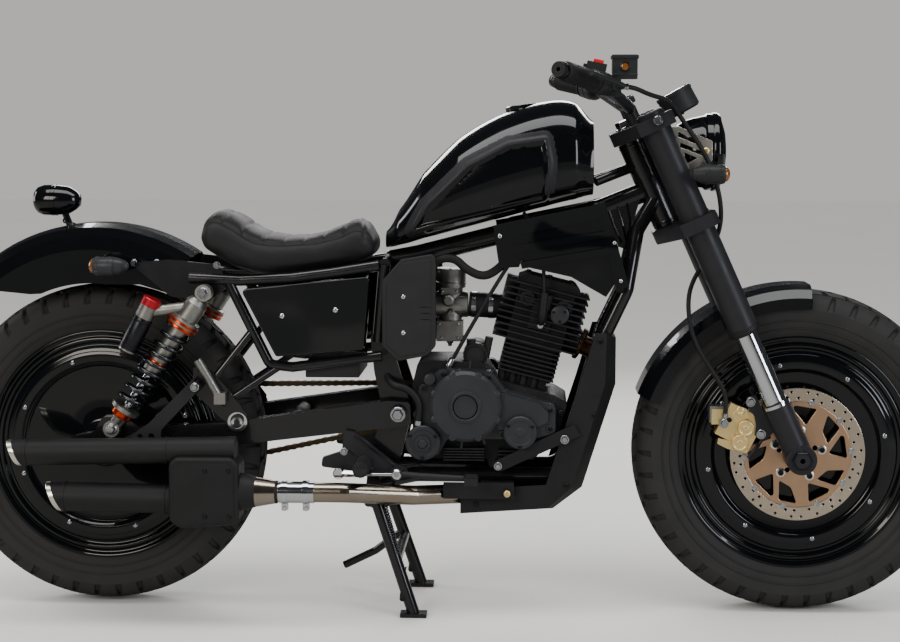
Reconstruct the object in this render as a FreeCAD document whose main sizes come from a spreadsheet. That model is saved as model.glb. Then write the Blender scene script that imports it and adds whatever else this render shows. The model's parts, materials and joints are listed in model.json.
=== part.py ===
import FreeCAD, Part
import math
import os
import Sketcher
from types import SimpleNamespace
from FreeCAD import Placement, Rotation, Vector

# Cruiser motorcycle on its centre stand.
# X runs forward, Y to the rider's left, Z up. The frame is drawn from the middle of the
# wheelbase on the ground, and shifted at the end so that the front tyre meets the ground.

doc = FreeCAD.newDocument("CruiserMotorcycle")
sheet = doc.addObject("Spreadsheet::Sheet", "Sizes")

# name, millimetres or degrees or a count, what it is
sizeRows = (
    ("tyreWidth", 130, "width of both tyres"),
    ("rimRadius", 224, "outer radius of the rim under the tyre"),
    ("tyreHeight", 96, "rim to tread of both tyres"),
    ("rimWidth", 104, "width across the rim flanges"),
    ("rimWall", 8, "thickness of the rim barrel"),
    ("flangeLip", 6, "height of the rim flange beside the tyre bead"),
    ("coverRadius", 186, "outer radius of the wheel cover plate"),
    ("coverFace", 44, "half width across the cover plates"),
    ("coverWall", 5, "thickness of a cover plate"),
    ("hubRadius", 34, "radius of both hubs"),
    ("hubHalf", 74, "half length of the front hub"),
    ("bearingGap", 0.3, "radial gap between an axle and its hub"),
    ("seatGap", 0.3, "gap between a seated piece and what carries it"),
    ("axleRadius", 9, "radius of both axles"),
    ("axleBore", 5, "radius of the hole through both axles"),
    ("axleEnd", 146, "half length of the axles"),
    ("axleHead", 9, "length of the head on each axle end"),
    ("rearAxleX", -686.7, "rear axle in the frame drawing"),
    ("rearAxleZ", 325, "rear axle height in the frame drawing, lifted by the stand"),
    ("headTopX", 348, "top of the steering axis in the frame drawing"),
    ("headTopZ", 954, "top of the steering axis in the frame drawing"),
    ("rake", 24.3, "lean of the steering axis"),
    ("forkLength", 717, "top of the steering axis down to the axle"),
    ("forkOffset", 48, "fork legs ahead of the steering axis"),
    ("forkSpread", 110, "fork leg to the middle of the motorcycle"),
    ("forkCoverRadius", 29, "radius of the upper fork tube"),
    ("stanchionRadius", 22.5, "radius of the bright fork tube"),
    ("forkLowerRadius", 27, "radius of the lower fork leg"),
    ("forkLowerLength", 113, "axle up to the end of the bright tube"),
    ("stanchionShown", 156, "length of bright tube that shows"),
    ("forkCapRise", 6, "upper tube above the top yoke"),
    ("yokeThickness", 26, "thickness of both yokes"),
    ("yokeDrop", 208, "top of the axis down to the lower yoke"),
    ("yokeGap", 2, "gap between the head tube and each yoke"),
    ("headTubeRadius", 27, "outer radius of the head tube"),
    ("stemRadius", 15, "radius of the steering stem"),
    ("barRadius", 11, "radius of the handlebar tube"),
    ("gripRadius", 17, "radius of the grips"),
    ("hoseRadius", 4.5, "radius of the brake hose"),
    ("barEndBore", 4, "radius of the hole in both bar ends"),
    ("discRadius", 131, "outer radius of the brake disc"),
    ("discBand", 26, "width of the braking ring"),
    ("discThickness", 5, "thickness of the brake disc"),
    ("discPlace", 70, "brake disc to the middle of the motorcycle"),
    ("carrierHub", 40, "outer radius of the carrier's middle"),
    ("pivotX", -91, "swingarm pivot in the frame drawing"),
    ("pivotZ", 403, "swingarm pivot height in the frame drawing"),
    ("armInner", 95, "inner face of a swingarm leg"),
    ("armWidth", 28, "width of a swingarm leg"),
    ("plateWidth", 8, "thickness of the pivot plates"),
    ("mainTube", 20, "radius of the backbone tube"),
    ("downTube", 15, "radius of the downtubes"),
    ("seatTube", 11, "radius of the seat rails"),
    ("downSpread", 62, "downtube to the middle of the motorcycle"),
    ("railSpread", 100, "seat rail to the middle of the motorcycle"),
    ("tankHalf", 130, "half width of the fuel tank"),
    ("seatHalf", 125, "half width of the seat"),
    ("sheetWall", 3, "wall of the mudguards"),
    ("guardGap", 8, "front mudguard over the tyre"),
    ("frontGuardHalf", 78, "half width of the front mudguard"),
    ("rearGuardHalf", 95, "half width of the rear mudguard"),
    ("cylinderX", 150, "cylinder foot in the frame drawing"),
    ("cylinderZ", 451, "cylinder foot height in the frame drawing"),
    ("cylinderLean", 14.4, "forward lean of the cylinder"),
    ("finThickness", 3.2, "thickness of a cooling fin"),
    ("cylinderFins", 8, "number of fins on the cylinder"),
    ("headFins", 10, "number of fins on the cylinder head"),
    ("caseHalf", 95, "half width of the crankcase"),
    ("clutchX", 40, "clutch cover in the frame drawing"),
    ("clutchZ", 420, "clutch cover height in the frame drawing"),
    ("clutchRadius", 69, "radius of the clutch cover"),
    ("pipeRadius", 19, "radius of the exhaust pipe"),
    ("mufflerY", 200, "muffler to the middle of the motorcycle"),
    ("barrelRadius", 25, "radius of a muffler barrel"),
    ("sprocketRadius", 100, "tip radius of the rear sprocket"),
    ("sprocketTeeth", 38, "teeth on the rear sprocket"),
    ("chainPlace", 77, "chain to the middle of the motorcycle"),
    ("chainWidth", 14, "width of the chain"),
    ("chainDepth", 12, "height of the chain"),
    ("chainGap", 0.3, "sprocket tip to the chain"),
    ("frontSprocketRadius", 34, "tip radius of the gearbox sprocket"),
    ("gearTeeth", 13, "teeth on the gearbox sprocket"),
    ("shockPlace", 142, "shock absorber to the middle of the motorcycle"),
    ("springRadius", 25, "mean radius of the shock spring"),
    ("springWire", 4.5, "wire radius of the shock spring"),
    ("springTurns", 8, "turns of the shock spring"),
    ("standPivotX", -137, "stand pivot in the frame drawing"),
    ("standPivotZ", 231, "stand pivot height in the frame drawing"),
    ("standTube", 12, "radius of the stand legs"),
    ("footThickness", 8, "thickness of the stand's feet"),
)


class Size(float):
    """A number from the sheet that keeps its cell's name through sums."""

    def __new__(cls, value, text=None):
        made = float.__new__(cls, value)
        made.text = text or ("%.6g" % value if value >= 0 else "(%.6g)" % value)
        return made

    def __add__(self, other):
        return joined(self, "+", other, float(self) + float(other))

    def __radd__(self, other):
        return joined(other, "+", self, float(other) + float(self))

    def __sub__(self, other):
        return joined(self, "-", other, float(self) - float(other))

    def __rsub__(self, other):
        return joined(other, "-", self, float(other) - float(self))

    def __mul__(self, other):
        return joined(self, "*", other, float(self) * float(other))

    def __rmul__(self, other):
        return joined(other, "*", self, float(other) * float(self))

    def __truediv__(self, other):
        return joined(self, "/", other, float(self) / float(other))

    def __neg__(self):
        return Size(-float(self), "(0 - %s)" % self.text)


def asSize(value):
    return value if isinstance(value, Size) else Size(float(value))


def joined(left, sign, right, value):
    return Size(value, "(%s %s %s)" % (asSize(left).text, sign, asSize(right).text))


dim = SimpleNamespace()
for row, (name, value, note) in enumerate(sizeRows, start=1):
    sheet.set("A%d" % row, note)
    sheet.set("B%d" % row, str(value))
    sheet.setAlias("B%d" % row, name)
doc.recompute()
for name, value, note in sizeRows:
    setattr(dim, name, Size(getattr(sheet, name), "Sizes." + name))

nodes = []
sides = (("right", -1), ("left", 1))


def bind(feature, field, value):
    """Set a property, and tie it to the sheet where its value came from there."""
    value = asSize(value)
    if "Sizes." in value.text:
        feature.setExpression(field, value.text)
    else:
        setattr(feature, field, float(value))


def keep(piece, label):
    """Name a sub-part and list it for export."""
    piece.Label = label
    nodes.append(piece)
    return piece


def along(start, end):
    """Place a piece whose own Z runs from start towards end."""
    start = Vector(*start)
    return Placement(start, Rotation(Vector(0, 0, 1), Vector(*end) - start))


def drawOutline(sketch, points):
    """Closed outline of straight lines whose corners are tied to the sheet."""
    first = sketch.GeometryCount
    count = len(points)
    for index in range(count):
        here = Vector(*points[index], 0)
        there = Vector(*points[(index + 1) % count], 0)
        sketch.addGeometry(Part.LineSegment(here, there), False)
    for index in range(count):
        line = first + index
        following = first + (index + 1) % count
        sketch.addConstraint(Sketcher.Constraint("Coincident", line, 2, following, 1))
        for kind, value in zip(("DistanceX", "DistanceY"), points[index]):
            number = sketch.addConstraint(Sketcher.Constraint(kind, -1, 1, line, 1, float(value)))
            if "Sizes." in asSize(value).text:
                sketch.setExpression("Constraints[%d]" % number, value.text)


def drawCircle(sketch, across, up, radius):
    line = sketch.addGeometry(Part.Circle(Vector(across, up, 0), Vector(0, 0, 1), radius), False)
    wanted = (("DistanceX", across), ("DistanceY", up))
    for kind, value in wanted:
        number = sketch.addConstraint(Sketcher.Constraint(kind, -1, 1, line, 3, float(value)))
        if "Sizes." in asSize(value).text:
            sketch.setExpression("Constraints[%d]" % number, value.text)
    number = sketch.addConstraint(Sketcher.Constraint("Radius", line, float(radius)))
    if "Sizes." in asSize(radius).text:
        sketch.setExpression("Constraints[%d]" % number, radius.text)


def newSketch(body, plane, outlines=(), holes=()):
    sketch = body.newObject("Sketcher::SketchObject", body.Name + "Sketch")
    origin = [item for item in body.Origin.OriginFeatures if item.Role == plane][0]
    sketch.AttachmentSupport = (origin, [""])
    sketch.MapMode = "FlatFace"
    for points in outlines:
        drawOutline(sketch, points)
    for across, up, radius in holes:
        drawCircle(sketch, across, up, radius)
    return sketch


def newBody(name):
    return doc.addObject("PartDesign::Body", name)


def padded(name, outline, low, high, holes=(), corner=0):
    """A plate drawn from the side: X across, Z up, thick from low to high along Y."""
    body = newBody(name)
    sketch = newSketch(body, "XZ_Plane", [outline] if outline else [], holes)
    pad = body.newObject("PartDesign::Pad", name + "Pad")
    pad.Profile = sketch
    pad.Reversed = True
    bind(pad, "Length", high - low)
    bind(body, "Placement.Base.y", low) if "Sizes." in asSize(low).text else setY(body, low)
    if corner:
        doc.recompute()
        edges = ["Edge%d" % (number + 1) for number, edge in enumerate(pad.Shape.Edges)
                 if abs(edge.tangentAt(edge.FirstParameter).y) > 0.999]
        fillet = body.newObject("PartDesign::Fillet", name + "Fillet")
        fillet.Base = (pad, edges)
        bind(fillet, "Radius", corner)
    return body


def setY(body, value):
    body.Placement.Base = Vector(0, float(value), 0)


def turned(name, profile, start, end, angle=360):
    """A turned piece: profile of (radius, distance along) pairs, its axis from start to end."""
    body = newBody(name)
    sketch = newSketch(body, "XZ_Plane", [profile])
    turn = body.newObject("PartDesign::Revolution", name + "Turn")
    turn.Profile = sketch
    turn.ReferenceAxis = (sketch, ["V_Axis"])
    turn.Angle = angle
    body.Placement = along(start, end)
    return body


def rod(name, start, end, radius):
    """A straight round bar between two points."""
    piece = doc.addObject("Part::Cylinder", name)
    bind(piece, "Radius", radius)
    piece.Height = (Vector(*end) - Vector(*start)).Length
    piece.Placement = along(start, end)
    return piece


def block(name, low, high):
    """A box between two opposite corners."""
    piece = doc.addObject("Part::Box", name)
    for field, lowest, highest in zip(("Length", "Width", "Height"), low, high):
        bind(piece, field, highest - lowest)
    piece.Placement.Base = Vector(*low)
    return piece


def joinedPieces(name, pieces):
    fuse = doc.addObject("Part::MultiFuse", name)
    fuse.Shapes = pieces
    return fuse


def sideBySide(name, pieces):
    """Pieces of one node that don't touch."""
    pair = doc.addObject("Part::Compound", name)
    pair.Links = pieces
    return pair


def cutAway(name, base, tool):
    cut = doc.addObject("Part::Cut", name)
    cut.Base = base
    cut.Tool = tool
    return cut


def shaped(name, shape):
    """A piece made by code, where no sketch or primitive gives its form."""
    piece = doc.addObject("Part::Feature", name)
    piece.Shape = shape
    return piece


def bentPath(points, bend=None):
    """A wire along the points, its corners rounded to the bend radius, or as wide as the runs allow."""
    places = [Vector(*point) for point in points]
    edges = []
    last = places[0]
    for before, corner, after in zip(places, places[1:], places[2:]):
        inward = (before - corner).normalize()
        outward = (after - corner).normalize()
        turn = math.pi - inward.getAngle(outward)
        reach = 0.45 * min((before - corner).Length, (after - corner).Length)
        if bend:
            reach = bend * math.tan(turn / 2)
        start = corner + inward * reach
        end = corner + outward * reach
        middle = (inward + outward).normalize()
        curve = reach / math.tan(turn / 2)
        if not bend:
            print("bend radius %.1f mm at %s" % (curve, tuple(corner)))
        sagitta = curve / math.cos(turn / 2) - curve
        edges.append(Part.makeLine(last, start))
        edges.append(Part.Arc(start, corner + middle * sagitta, end).toShape())
        last = end
    edges.append(Part.makeLine(last, places[-1]))
    return Part.Wire(edges)


def bentTube(points, radius, bend=None):
    """A round bar that follows the points."""
    path = bentPath(points, bend)
    start = Vector(*points[0])
    profile = Part.Wire(Part.makeCircle(radius, start, Vector(*points[1]) - start))
    return path.makePipeShell([profile], True, False)


def mirrored(points, side):
    return [(x, side * y, z) for x, y, z in points]


tyreRadius = dim.rimRadius + dim.tyreHeight
stanchionEnd = dim.forkLength - dim.forkLowerLength
forkCoverEnd = stanchionEnd - dim.stanchionShown

# Skeleton of the frame drawing: steering axis, axles and the shift to the ground.

rakeTurn = math.radians(dim.rake)
forkUp = Vector(-math.sin(rakeTurn), 0, math.cos(rakeTurn))
forkAhead = Vector(math.cos(rakeTurn), 0, math.sin(rakeTurn))
headTop = Vector(dim.headTopX, 0, dim.headTopZ)
frontAxle = headTop - forkUp * float(dim.forkLength) + forkAhead * float(dim.forkOffset)
rearAxle = Vector(dim.rearAxleX, 0, dim.rearAxleZ)
shift = Vector(-(frontAxle.x + rearAxle.x) / 2, 0, tyreRadius - frontAxle.z)
groundZ = -shift.z
seatGap = float(dim.seatGap)


def onFork(ahead, across, up):
    """A point given from the top of the steering axis, along the fork."""
    return headTop + forkAhead * float(ahead) + Vector(0, float(across), 0) + forkUp * float(up)


# Wheels

tyreHalf = dim.tyreWidth / 2
tyreProfile = (
    (dim.rimRadius, dim.rimWidth / -2 + 4),
    (dim.rimRadius + 18, dim.rimWidth / -2 - 4),
    (dim.rimRadius + 44, -tyreHalf),
    (tyreRadius - 22, 3 - tyreHalf),
    (tyreRadius - 6, 24 - tyreHalf),
    (tyreRadius, -14),
    (tyreRadius, 14),
    (tyreRadius - 6, tyreHalf - 24),
    (tyreRadius - 22, tyreHalf - 3),
    (dim.rimRadius + 44, tyreHalf),
    (dim.rimRadius + 18, dim.rimWidth / 2 + 4),
    (dim.rimRadius, dim.rimWidth / 2 - 4),
)
rimInside = dim.rimRadius - dim.rimWall
rimProfile = (
    (rimInside, dim.rimWidth / -2),
    (dim.rimRadius + dim.flangeLip, dim.rimWidth / -2 - 1),
    (dim.rimRadius, dim.rimWidth / -2 + 4),
    (dim.rimRadius, dim.rimWidth / 2 - 4),
    (dim.rimRadius + dim.flangeLip, dim.rimWidth / 2 + 1),
    (rimInside, dim.rimWidth / 2),
)
hubBore = dim.axleRadius + dim.bearingGap
hubCollar = dim.hubRadius - 12
wheels = (("front", frontAxle, dim.hubHalf), ("rear", rearAxle, dim.chainPlace + 8))
for name, axle, hubHalf in wheels:
    axis = axle, axle + Vector(0, 1, 0)
    tyre = turned(name + "Tyre", tyreProfile, *axis)
    rim = turned(name + "Rim", rimProfile, *axis)
    plates = []
    for label, side in sides:
        face = side * dim.coverFace
        wall = side * dim.coverWall
        lift = side * 7
        profile = (
            (dim.hubRadius, face - wall),
            (dim.coverRadius - 26, face - wall),
            (dim.coverRadius - 16, face - wall + lift),
            (rimInside, face - wall + lift),
            (rimInside, face + lift),
            (dim.coverRadius, face + lift),
            (dim.coverRadius - 4, face + lift + side * 2),
            (dim.coverRadius - 18, face + lift + side * 2),
            (dim.coverRadius - 30, face),
            (dim.hubRadius, face),
        )
        plates.append(turned("%sCover%s" % (name, label), profile, *axis))
    hubProfile = (
        (hubBore, -hubHalf),
        (hubCollar, -hubHalf),
        (hubCollar, -dim.coverFace - 8),
        (dim.hubRadius, -dim.coverFace - 8),
        (dim.hubRadius, dim.coverFace + 8),
        (hubCollar, dim.coverFace + 8),
        (hubCollar, hubHalf),
        (hubBore, hubHalf),
    )
    hub = turned(name + "Hub", hubProfile, *axis)
    keep(tyre, name + "_tyre")
    keep(joinedPieces(name + "WheelPieces", [rim, hub] + plates), name + "_wheel")

# Brake disc: a drilled ring on a carrier with angled windows

discInner = dim.discRadius - dim.discBand
discHalf = dim.discThickness / 2
ringProfile = (
    (discInner, -discHalf), (dim.discRadius, -discHalf),
    (dim.discRadius, discHalf), (discInner, discHalf),
)
discCentre = frontAxle - Vector(0, float(dim.discPlace), 0)
ring = turned("discRing", ringProfile, discCentre, discCentre + Vector(0, 1, 0))
carrierProfile = (
    (hubCollar, -discHalf), (discInner, -discHalf),
    (discInner, discHalf), (hubCollar, discHalf),
)
carrier = turned("discCarrier", carrierProfile, discCentre, discCentre + Vector(0, 1, 0))
windowCount = 10
windowInner = float(dim.carrierHub) + 14
windowOuter = float(discInner) - 9
windowTool = []
for number in range(windowCount):
    turn = 2 * math.pi * number / windowCount
    lean = 0.16 if number % 2 else -0.16
    corners = ((windowInner, turn + lean - 0.07), (windowInner, turn + lean + 0.07),
               (windowOuter, turn + 0.25), (windowOuter, turn - 0.25))
    flat = [discCentre + Vector(r * math.cos(a), -20, r * math.sin(a)) for r, a in corners]
    windowTool.append(Part.Face(Part.makePolygon(flat + flat[:1])).extrude(Vector(0, 40, 0)))
holeTool = []
for row, radius in enumerate((discInner + 8, dim.discRadius - 8)):
    for number in range(16):
        turn = 2 * math.pi * (number + row / 2) / 16
        place = discCentre + Vector(radius * math.cos(turn), -20, radius * math.sin(turn))
        holeTool.append(Part.makeCylinder(3.2, 40, place, Vector(0, 1, 0)))
windows = shaped("carrierWindows", Part.makeCompound(windowTool))
drilling = shaped("discDrilling", Part.makeCompound(holeTool))
keep(cutAway("discRingDrilled", ring, drilling), "brake_disc")
keep(cutAway("carrierCut", carrier, windows), "disc_carrier")

# Axles

headRadius = 14


def axleRod(name, axle):
    headStart = dim.axleEnd - dim.axleHead
    profile = (
        (dim.axleBore, -dim.axleEnd), (headRadius, -dim.axleEnd), (headRadius, -headStart),
        (dim.axleRadius, -headStart), (dim.axleRadius, headStart), (headRadius, headStart),
        (headRadius, dim.axleEnd), (dim.axleBore, dim.axleEnd),
    )
    return turned(name, profile, axle, axle + Vector(0, 1, 0))


keep(axleRod("frontAxleRod", frontAxle), "front_axle")
keep(axleRod("rearAxleRod", rearAxle), "rear_axle")

# Rear sprocket and chain, on the left

toothHeight = 7
sprocketHalf = 3.5


def toothedWheel(centre, tip, teeth):
    """A flat chain wheel whose teeth are cut as straight-sided tips."""
    outline = []
    for number in range(teeth):
        for share, radius in ((-0.32, tip - toothHeight), (-0.12, tip), (0.12, tip),
                              (0.32, tip - toothHeight)):
            turn = 2 * math.pi * (number + share) / teeth
            outline.append(centre + Vector(radius * math.cos(turn), -sprocketHalf,
                                           radius * math.sin(turn)))
    return Part.Face(Part.makePolygon(outline + outline[:1])).extrude(Vector(0, 2 * sprocketHalf, 0))


tip = float(dim.sprocketRadius)
sprocketCentre = rearAxle + Vector(0, float(dim.chainPlace), 0)
bore = Part.makeCylinder(float(hubCollar), 20, sprocketCentre - Vector(0, 10, 0),
                         Vector(0, 1, 0))
holeCount = 6
holeRing = 60
lightening = []
for number in range(holeCount):
    turn = 2 * math.pi * number / holeCount
    place = sprocketCentre + Vector(holeRing * math.cos(turn), -10, holeRing * math.sin(turn))
    lightening.append(Part.makeCylinder(18, 20, place, Vector(0, 1, 0)))
bigSprocket = toothedWheel(sprocketCentre, tip, int(dim.sprocketTeeth))
keep(shaped("sprocket", bigSprocket.cut([bore] + lightening)), "rear_sprocket")
gearPlace = Vector(-40, float(dim.chainPlace), 400)
chainRoomGap = 6
gearShaft = Part.makeCylinder(10, dim.chainWidth / 2 + chainRoomGap + sprocketHalf,
                              gearPlace - Vector(0, dim.chainWidth / 2 + chainRoomGap, 0), Vector(0, 1, 0))
gearWheel = toothedWheel(gearPlace, float(dim.frontSprocketRadius), int(dim.gearTeeth))
keep(shaped("gearSprocket", gearWheel.fuse(gearShaft)), "gearbox_sprocket")


def beltFace(bigCentre, bigRadius, smallCentre, smallRadius):
    """The flat outline of a belt round two wheels in the XZ plane."""
    line = smallCentre - bigCentre
    gap = line.Length
    tilt = math.atan2(line.z, line.x)
    wrap = math.acos((bigRadius - smallRadius) / gap)

    def spot(centre, radius, turn):
        return centre + Vector(radius * math.cos(turn), 0, radius * math.sin(turn))

    upper = tilt + wrap
    lower = tilt - wrap
    edges = [
        Part.makeLine(spot(bigCentre, bigRadius, upper), spot(smallCentre, smallRadius, upper)),
        Part.Arc(spot(smallCentre, smallRadius, upper), spot(smallCentre, smallRadius, tilt),
                 spot(smallCentre, smallRadius, lower)).toShape(),
        Part.makeLine(spot(smallCentre, smallRadius, lower), spot(bigCentre, bigRadius, lower)),
        Part.Arc(spot(bigCentre, bigRadius, lower), spot(bigCentre, bigRadius, tilt + math.pi),
                 spot(bigCentre, bigRadius, upper)).toShape(),
    ]
    return Part.Face(Part.Wire(edges))


chainStart = float(dim.chainPlace - dim.chainWidth / 2)
gearCentre = Vector(gearPlace.x, chainStart, gearPlace.z)
wheelCentre = Vector(rearAxle.x, chainStart, rearAxle.z)
bigInner = tip + float(dim.chainGap)
smallInner = float(dim.frontSprocketRadius) + float(dim.chainGap)
deep = float(dim.chainDepth)
belt = beltFace(wheelCentre, bigInner + deep, gearCentre, smallInner + deep)
hollow = beltFace(wheelCentre, bigInner, gearCentre, smallInner)
keep(shaped("chainLoop", belt.cut(hollow).extrude(Vector(0, float(dim.chainWidth), 0))), "chain")

# Frame

headBottom = dim.yokeDrop - dim.yokeGap
headCore = rod("headCore", onFork(0, 0, -headBottom), onFork(0, 0, -dim.yokeThickness - dim.yokeGap),
               dim.headTubeRadius)
headBore = rod("headBore", onFork(0, 0, -300), onFork(0, 0, 100), dim.stemRadius + dim.bearingGap)
backboneRun = (onFork(0, 0, -130), (300, 0, 795), (-60, 0, 703), (-118, 0, 692))
backbone = shaped("backboneTube", bentTube(backboneRun, float(dim.mainTube), 60))
crossTop = rod("crossTop", (-118, -100, 692), (-118, 100, 692), dim.seatTube)
upperPieces = [headCore, backbone, crossTop]
for label, side in sides:
    upperPieces.append(rod("upperTube" + label, onFork(-4, side * 10, -76),
                           (290, side * 42, 851), 10))
backboneNode = cutAway("headAndBackbone", joinedPieces("headPieces", upperPieces), headBore)
keep(backboneNode, "frame_backbone")

plateOutline = ((-148, 555), (-112, 555), (-86, 470), (-70, 420), (-70, 386), (-84, 330),
                (-112, 212), (-162, 212), (-150, 320), (-126, 390), (-126, 416), (-140, 480))
plateOuter = dim.armInner - 2
plateInner = plateOuter - dim.plateWidth
pivotHole = (dim.pivotX, dim.pivotZ, dim.axleRadius + 1)
standHole = (dim.standPivotX, dim.standPivotZ, dim.axleRadius + 1)
cradlePieces = []
railPieces = []
pegPlateInner = dim.armInner + dim.armWidth + 2
pegPlateOuter = pegPlateInner + 6
pegPlateOutline = ((-489, 491), (-493, 447), (-440, 396), (-412, 374), (-390, 378), (-386, 400),
                   (-424, 452), (-470, 500))
for label, side in sides:
    low, high = sorted((side * plateInner, side * plateOuter))
    cradlePieces.append(padded("pivotPlate" + label, plateOutline, low, high,
                               [pivotHole, standHole], 8))
    post = rod("post" + label, (-118, side * dim.railSpread, 692),
               (-132, side * (plateOuter - 2), 540), dim.seatTube)
    cradlePieces.append(post)
    spread = float(dim.downSpread)
    downRun = mirrored([onFork(0, 12, -150), onFork(-60, 30, -190), (350, spread, 640),
                        (310, spread, 555), (272, spread, 414), (228, spread, 273),
                        (-60, spread, 273), (-132, 87, 262)], side)
    cradlePieces.append(shaped("downtube" + label, bentTube(downRun, float(dim.downTube), 40)))
    rail = float(dim.railSpread)
    railRun = mirrored([(-129, rail, 690), (-224, rail, 674.6), (-302, rail, 664.6),
                        (-400, rail, 659.6), (-500, rail, 664)], side)
    strutRun = mirrored([(-425, rail, 660), (-344, rail, 495), (-300, rail, 490),
                         (-126, rail - 4, 512)], side)
    railPieces.append(shaped("seatRail" + label, bentTube(railRun, float(dim.seatTube), 60)))
    railPieces.append(shaped("strut" + label, bentTube(strutRun, 10, 16)))
    bracketOutline = ((-616, 692), (-540, 700), (-445, 690), (-420, 650), (-464, 618), (-538, 627))
    low, high = sorted((side * dim.rearGuardHalf, side * (dim.rearGuardHalf + 5)))
    railPieces.append(padded("guardBracket" + label, bracketOutline, low, high, (), 6))
    low, high = sorted((side * (dim.rearGuardHalf + 5), side * (dim.shockPlace - 12)))
    railPieces.append(padded("shockBoss" + label, None, low, high, [(-464, 639, 11)]))
    low, high = sorted((side * pegPlateInner, side * pegPlateOuter))
    staySocket = pegPlateInner - 8
    railPieces.append(joinedPieces("passengerBracket" + label, [
        padded("pegPlate" + label, pegPlateOutline, low, high),
        rod("upperSocket" + label, (-455, side * (staySocket - 9), 464),
            (-455, side * (pegPlateInner + 2), 464), 12),
        rod("lowerSocket" + label, (-430, side * (staySocket - 9), 422),
            (-430, side * (pegPlateInner + 2), 422), 12),
        rod("upperStay" + label, (-378, side * rail, 562), (-455, side * staySocket, 464), 7),
        rod("lowerStay" + label, (-322, side * rail, 493), (-430, side * staySocket, 422), 7),
        rod("pegLug" + label, (-404, side * (pegPlateInner + 2), 389),
            (-404, side * (pegPlateOuter + 8), 389), 13)]))
boredCradle = cutAway("cradleBored", joinedPieces("cradle", cradlePieces), headBore)
cradleNode = cutAway("cradleCut", boredCradle, backboneNode)
keep(cradleNode, "frame_cradle")
keep(cutAway("railsCut", joinedPieces("rails", railPieces), cradleNode), "frame_subframe")

# Swingarm

armOutline = (
    (-68, 425), (-66, 381), (-120, 374), (-415, 338), (-640, 300), (-735, 300), (-735, 352),
    (-690, 362), (-672, 392), (-626, 392), (-600, 372), (-415, 384), (-110, 428),
)
axleHole = (dim.rearAxleX, dim.rearAxleZ, dim.axleRadius)
armPieces = []
for label, side in sides:
    low, high = sorted((side * dim.armInner, side * (dim.armInner + dim.armWidth)))
    armPieces.append(padded("arm" + label, armOutline, low, high, [pivotHole, axleHole], 8))
armPieces.append(rod("armCross", (-300, -dim.armInner - 4, 375), (-300, dim.armInner + 4, 375), 18))
armOuter = dim.armInner + dim.armWidth
pivotBolt = ((0, -armOuter - 12), (17, -armOuter - 12), (17, -armOuter), (dim.axleRadius + 1, -armOuter),
             (dim.axleRadius + 1, armOuter), (17, armOuter), (17, armOuter + 12), (0, armOuter + 12))
armPieces.append(turned("pivotBoltTurn", pivotBolt, (dim.pivotX, 0, dim.pivotZ),
                        (dim.pivotX, 1, dim.pivotZ)))
keep(joinedPieces("swingarmPieces", armPieces), "swingarm")

# Shock absorbers

shockTop = Vector(-464, 0, 639)
shockFoot = Vector(-648, 0, 373)
shockLine = (shockFoot - shockTop).normalize()
shockLength = (shockFoot - shockTop).Length
springTop = 78
springFoot = shockLength - 52
springSteps = 10


def wireCoil(radius, wire, height, turns):
    """A six-sided wire wound up the Z axis in short straight steps."""
    steps = turns * springSteps
    rings = []
    for step in range(steps + 1):
        turn = 2 * math.pi * step / springSteps
        outward = Vector(math.cos(turn), math.sin(turn), 0)
        centre = outward * radius + Vector(0, 0, (height - 2 * wire) * step / steps)
        rings.append([centre + outward * (wire * math.cos(math.radians(corner)))
                      + Vector(0, 0, wire * math.sin(math.radians(corner))) for corner in range(0, 360, 60)])
    faces = [Part.Face(Part.makePolygon(ring + ring[:1])) for ring in (rings[0], rings[-1])]
    for lower, upper in zip(rings, rings[1:]):
        for number in range(6):
            following = (number + 1) % 6
            for corners in ((lower[number], lower[following], upper[following]),
                            (lower[number], upper[following], upper[number])):
                faces.append(Part.Face(Part.makePolygon(list(corners) + [corners[0]])))
    solid = Part.makeSolid(Part.makeShell(faces))
    if solid.Volume < 0:
        solid.reverse()
    return solid


bodies = []
springs = []
for label, side in sides:
    out = Vector(0, side * float(dim.shockPlace), 0)
    top = shockTop + out
    foot = shockFoot + out
    half = Vector(0, 12, 0)
    profile = ((0, 14), (15, 16), (22, 26), (22, 60), (30, 62), (30, springTop), (18, springTop),
               (18, 190), (7, 190), (7, springFoot), (29, springFoot), (29, springFoot + 8),
               (16, springFoot + 14), (12, shockLength - 10), (0, shockLength - 10))
    reservoirTop = top + Vector(-98, side * 8, -12)
    reservoirFoot = top + Vector(-150, side * 8, -112)
    neck = rod("shockNeck" + label, top + shockLine * 32, top + Vector(-112, side * 8, -38), 11)
    bodies.append(joinedPieces("shock" + label, [
        turned("shockTurn" + label, profile, top, foot),
        rod("shockTopEye" + label, top - half, top + half, 16),
        rod("shockFootEye" + label, foot - half, foot + half, 16),
        rod("reservoir" + label, reservoirTop, reservoirFoot, 18), neck]))
    piece = shaped("spring" + label, wireCoil(float(dim.springRadius), float(dim.springWire),
                                              springFoot - springTop, int(dim.springTurns)))
    piece.Placement = along(top + shockLine * (springTop + dim.springWire), foot)
    springs.append(piece)
keep(sideBySide("shocks", bodies), "shock_bodies")
keep(sideBySide("springPair", springs), "shock_springs")

# Bodywork


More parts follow.
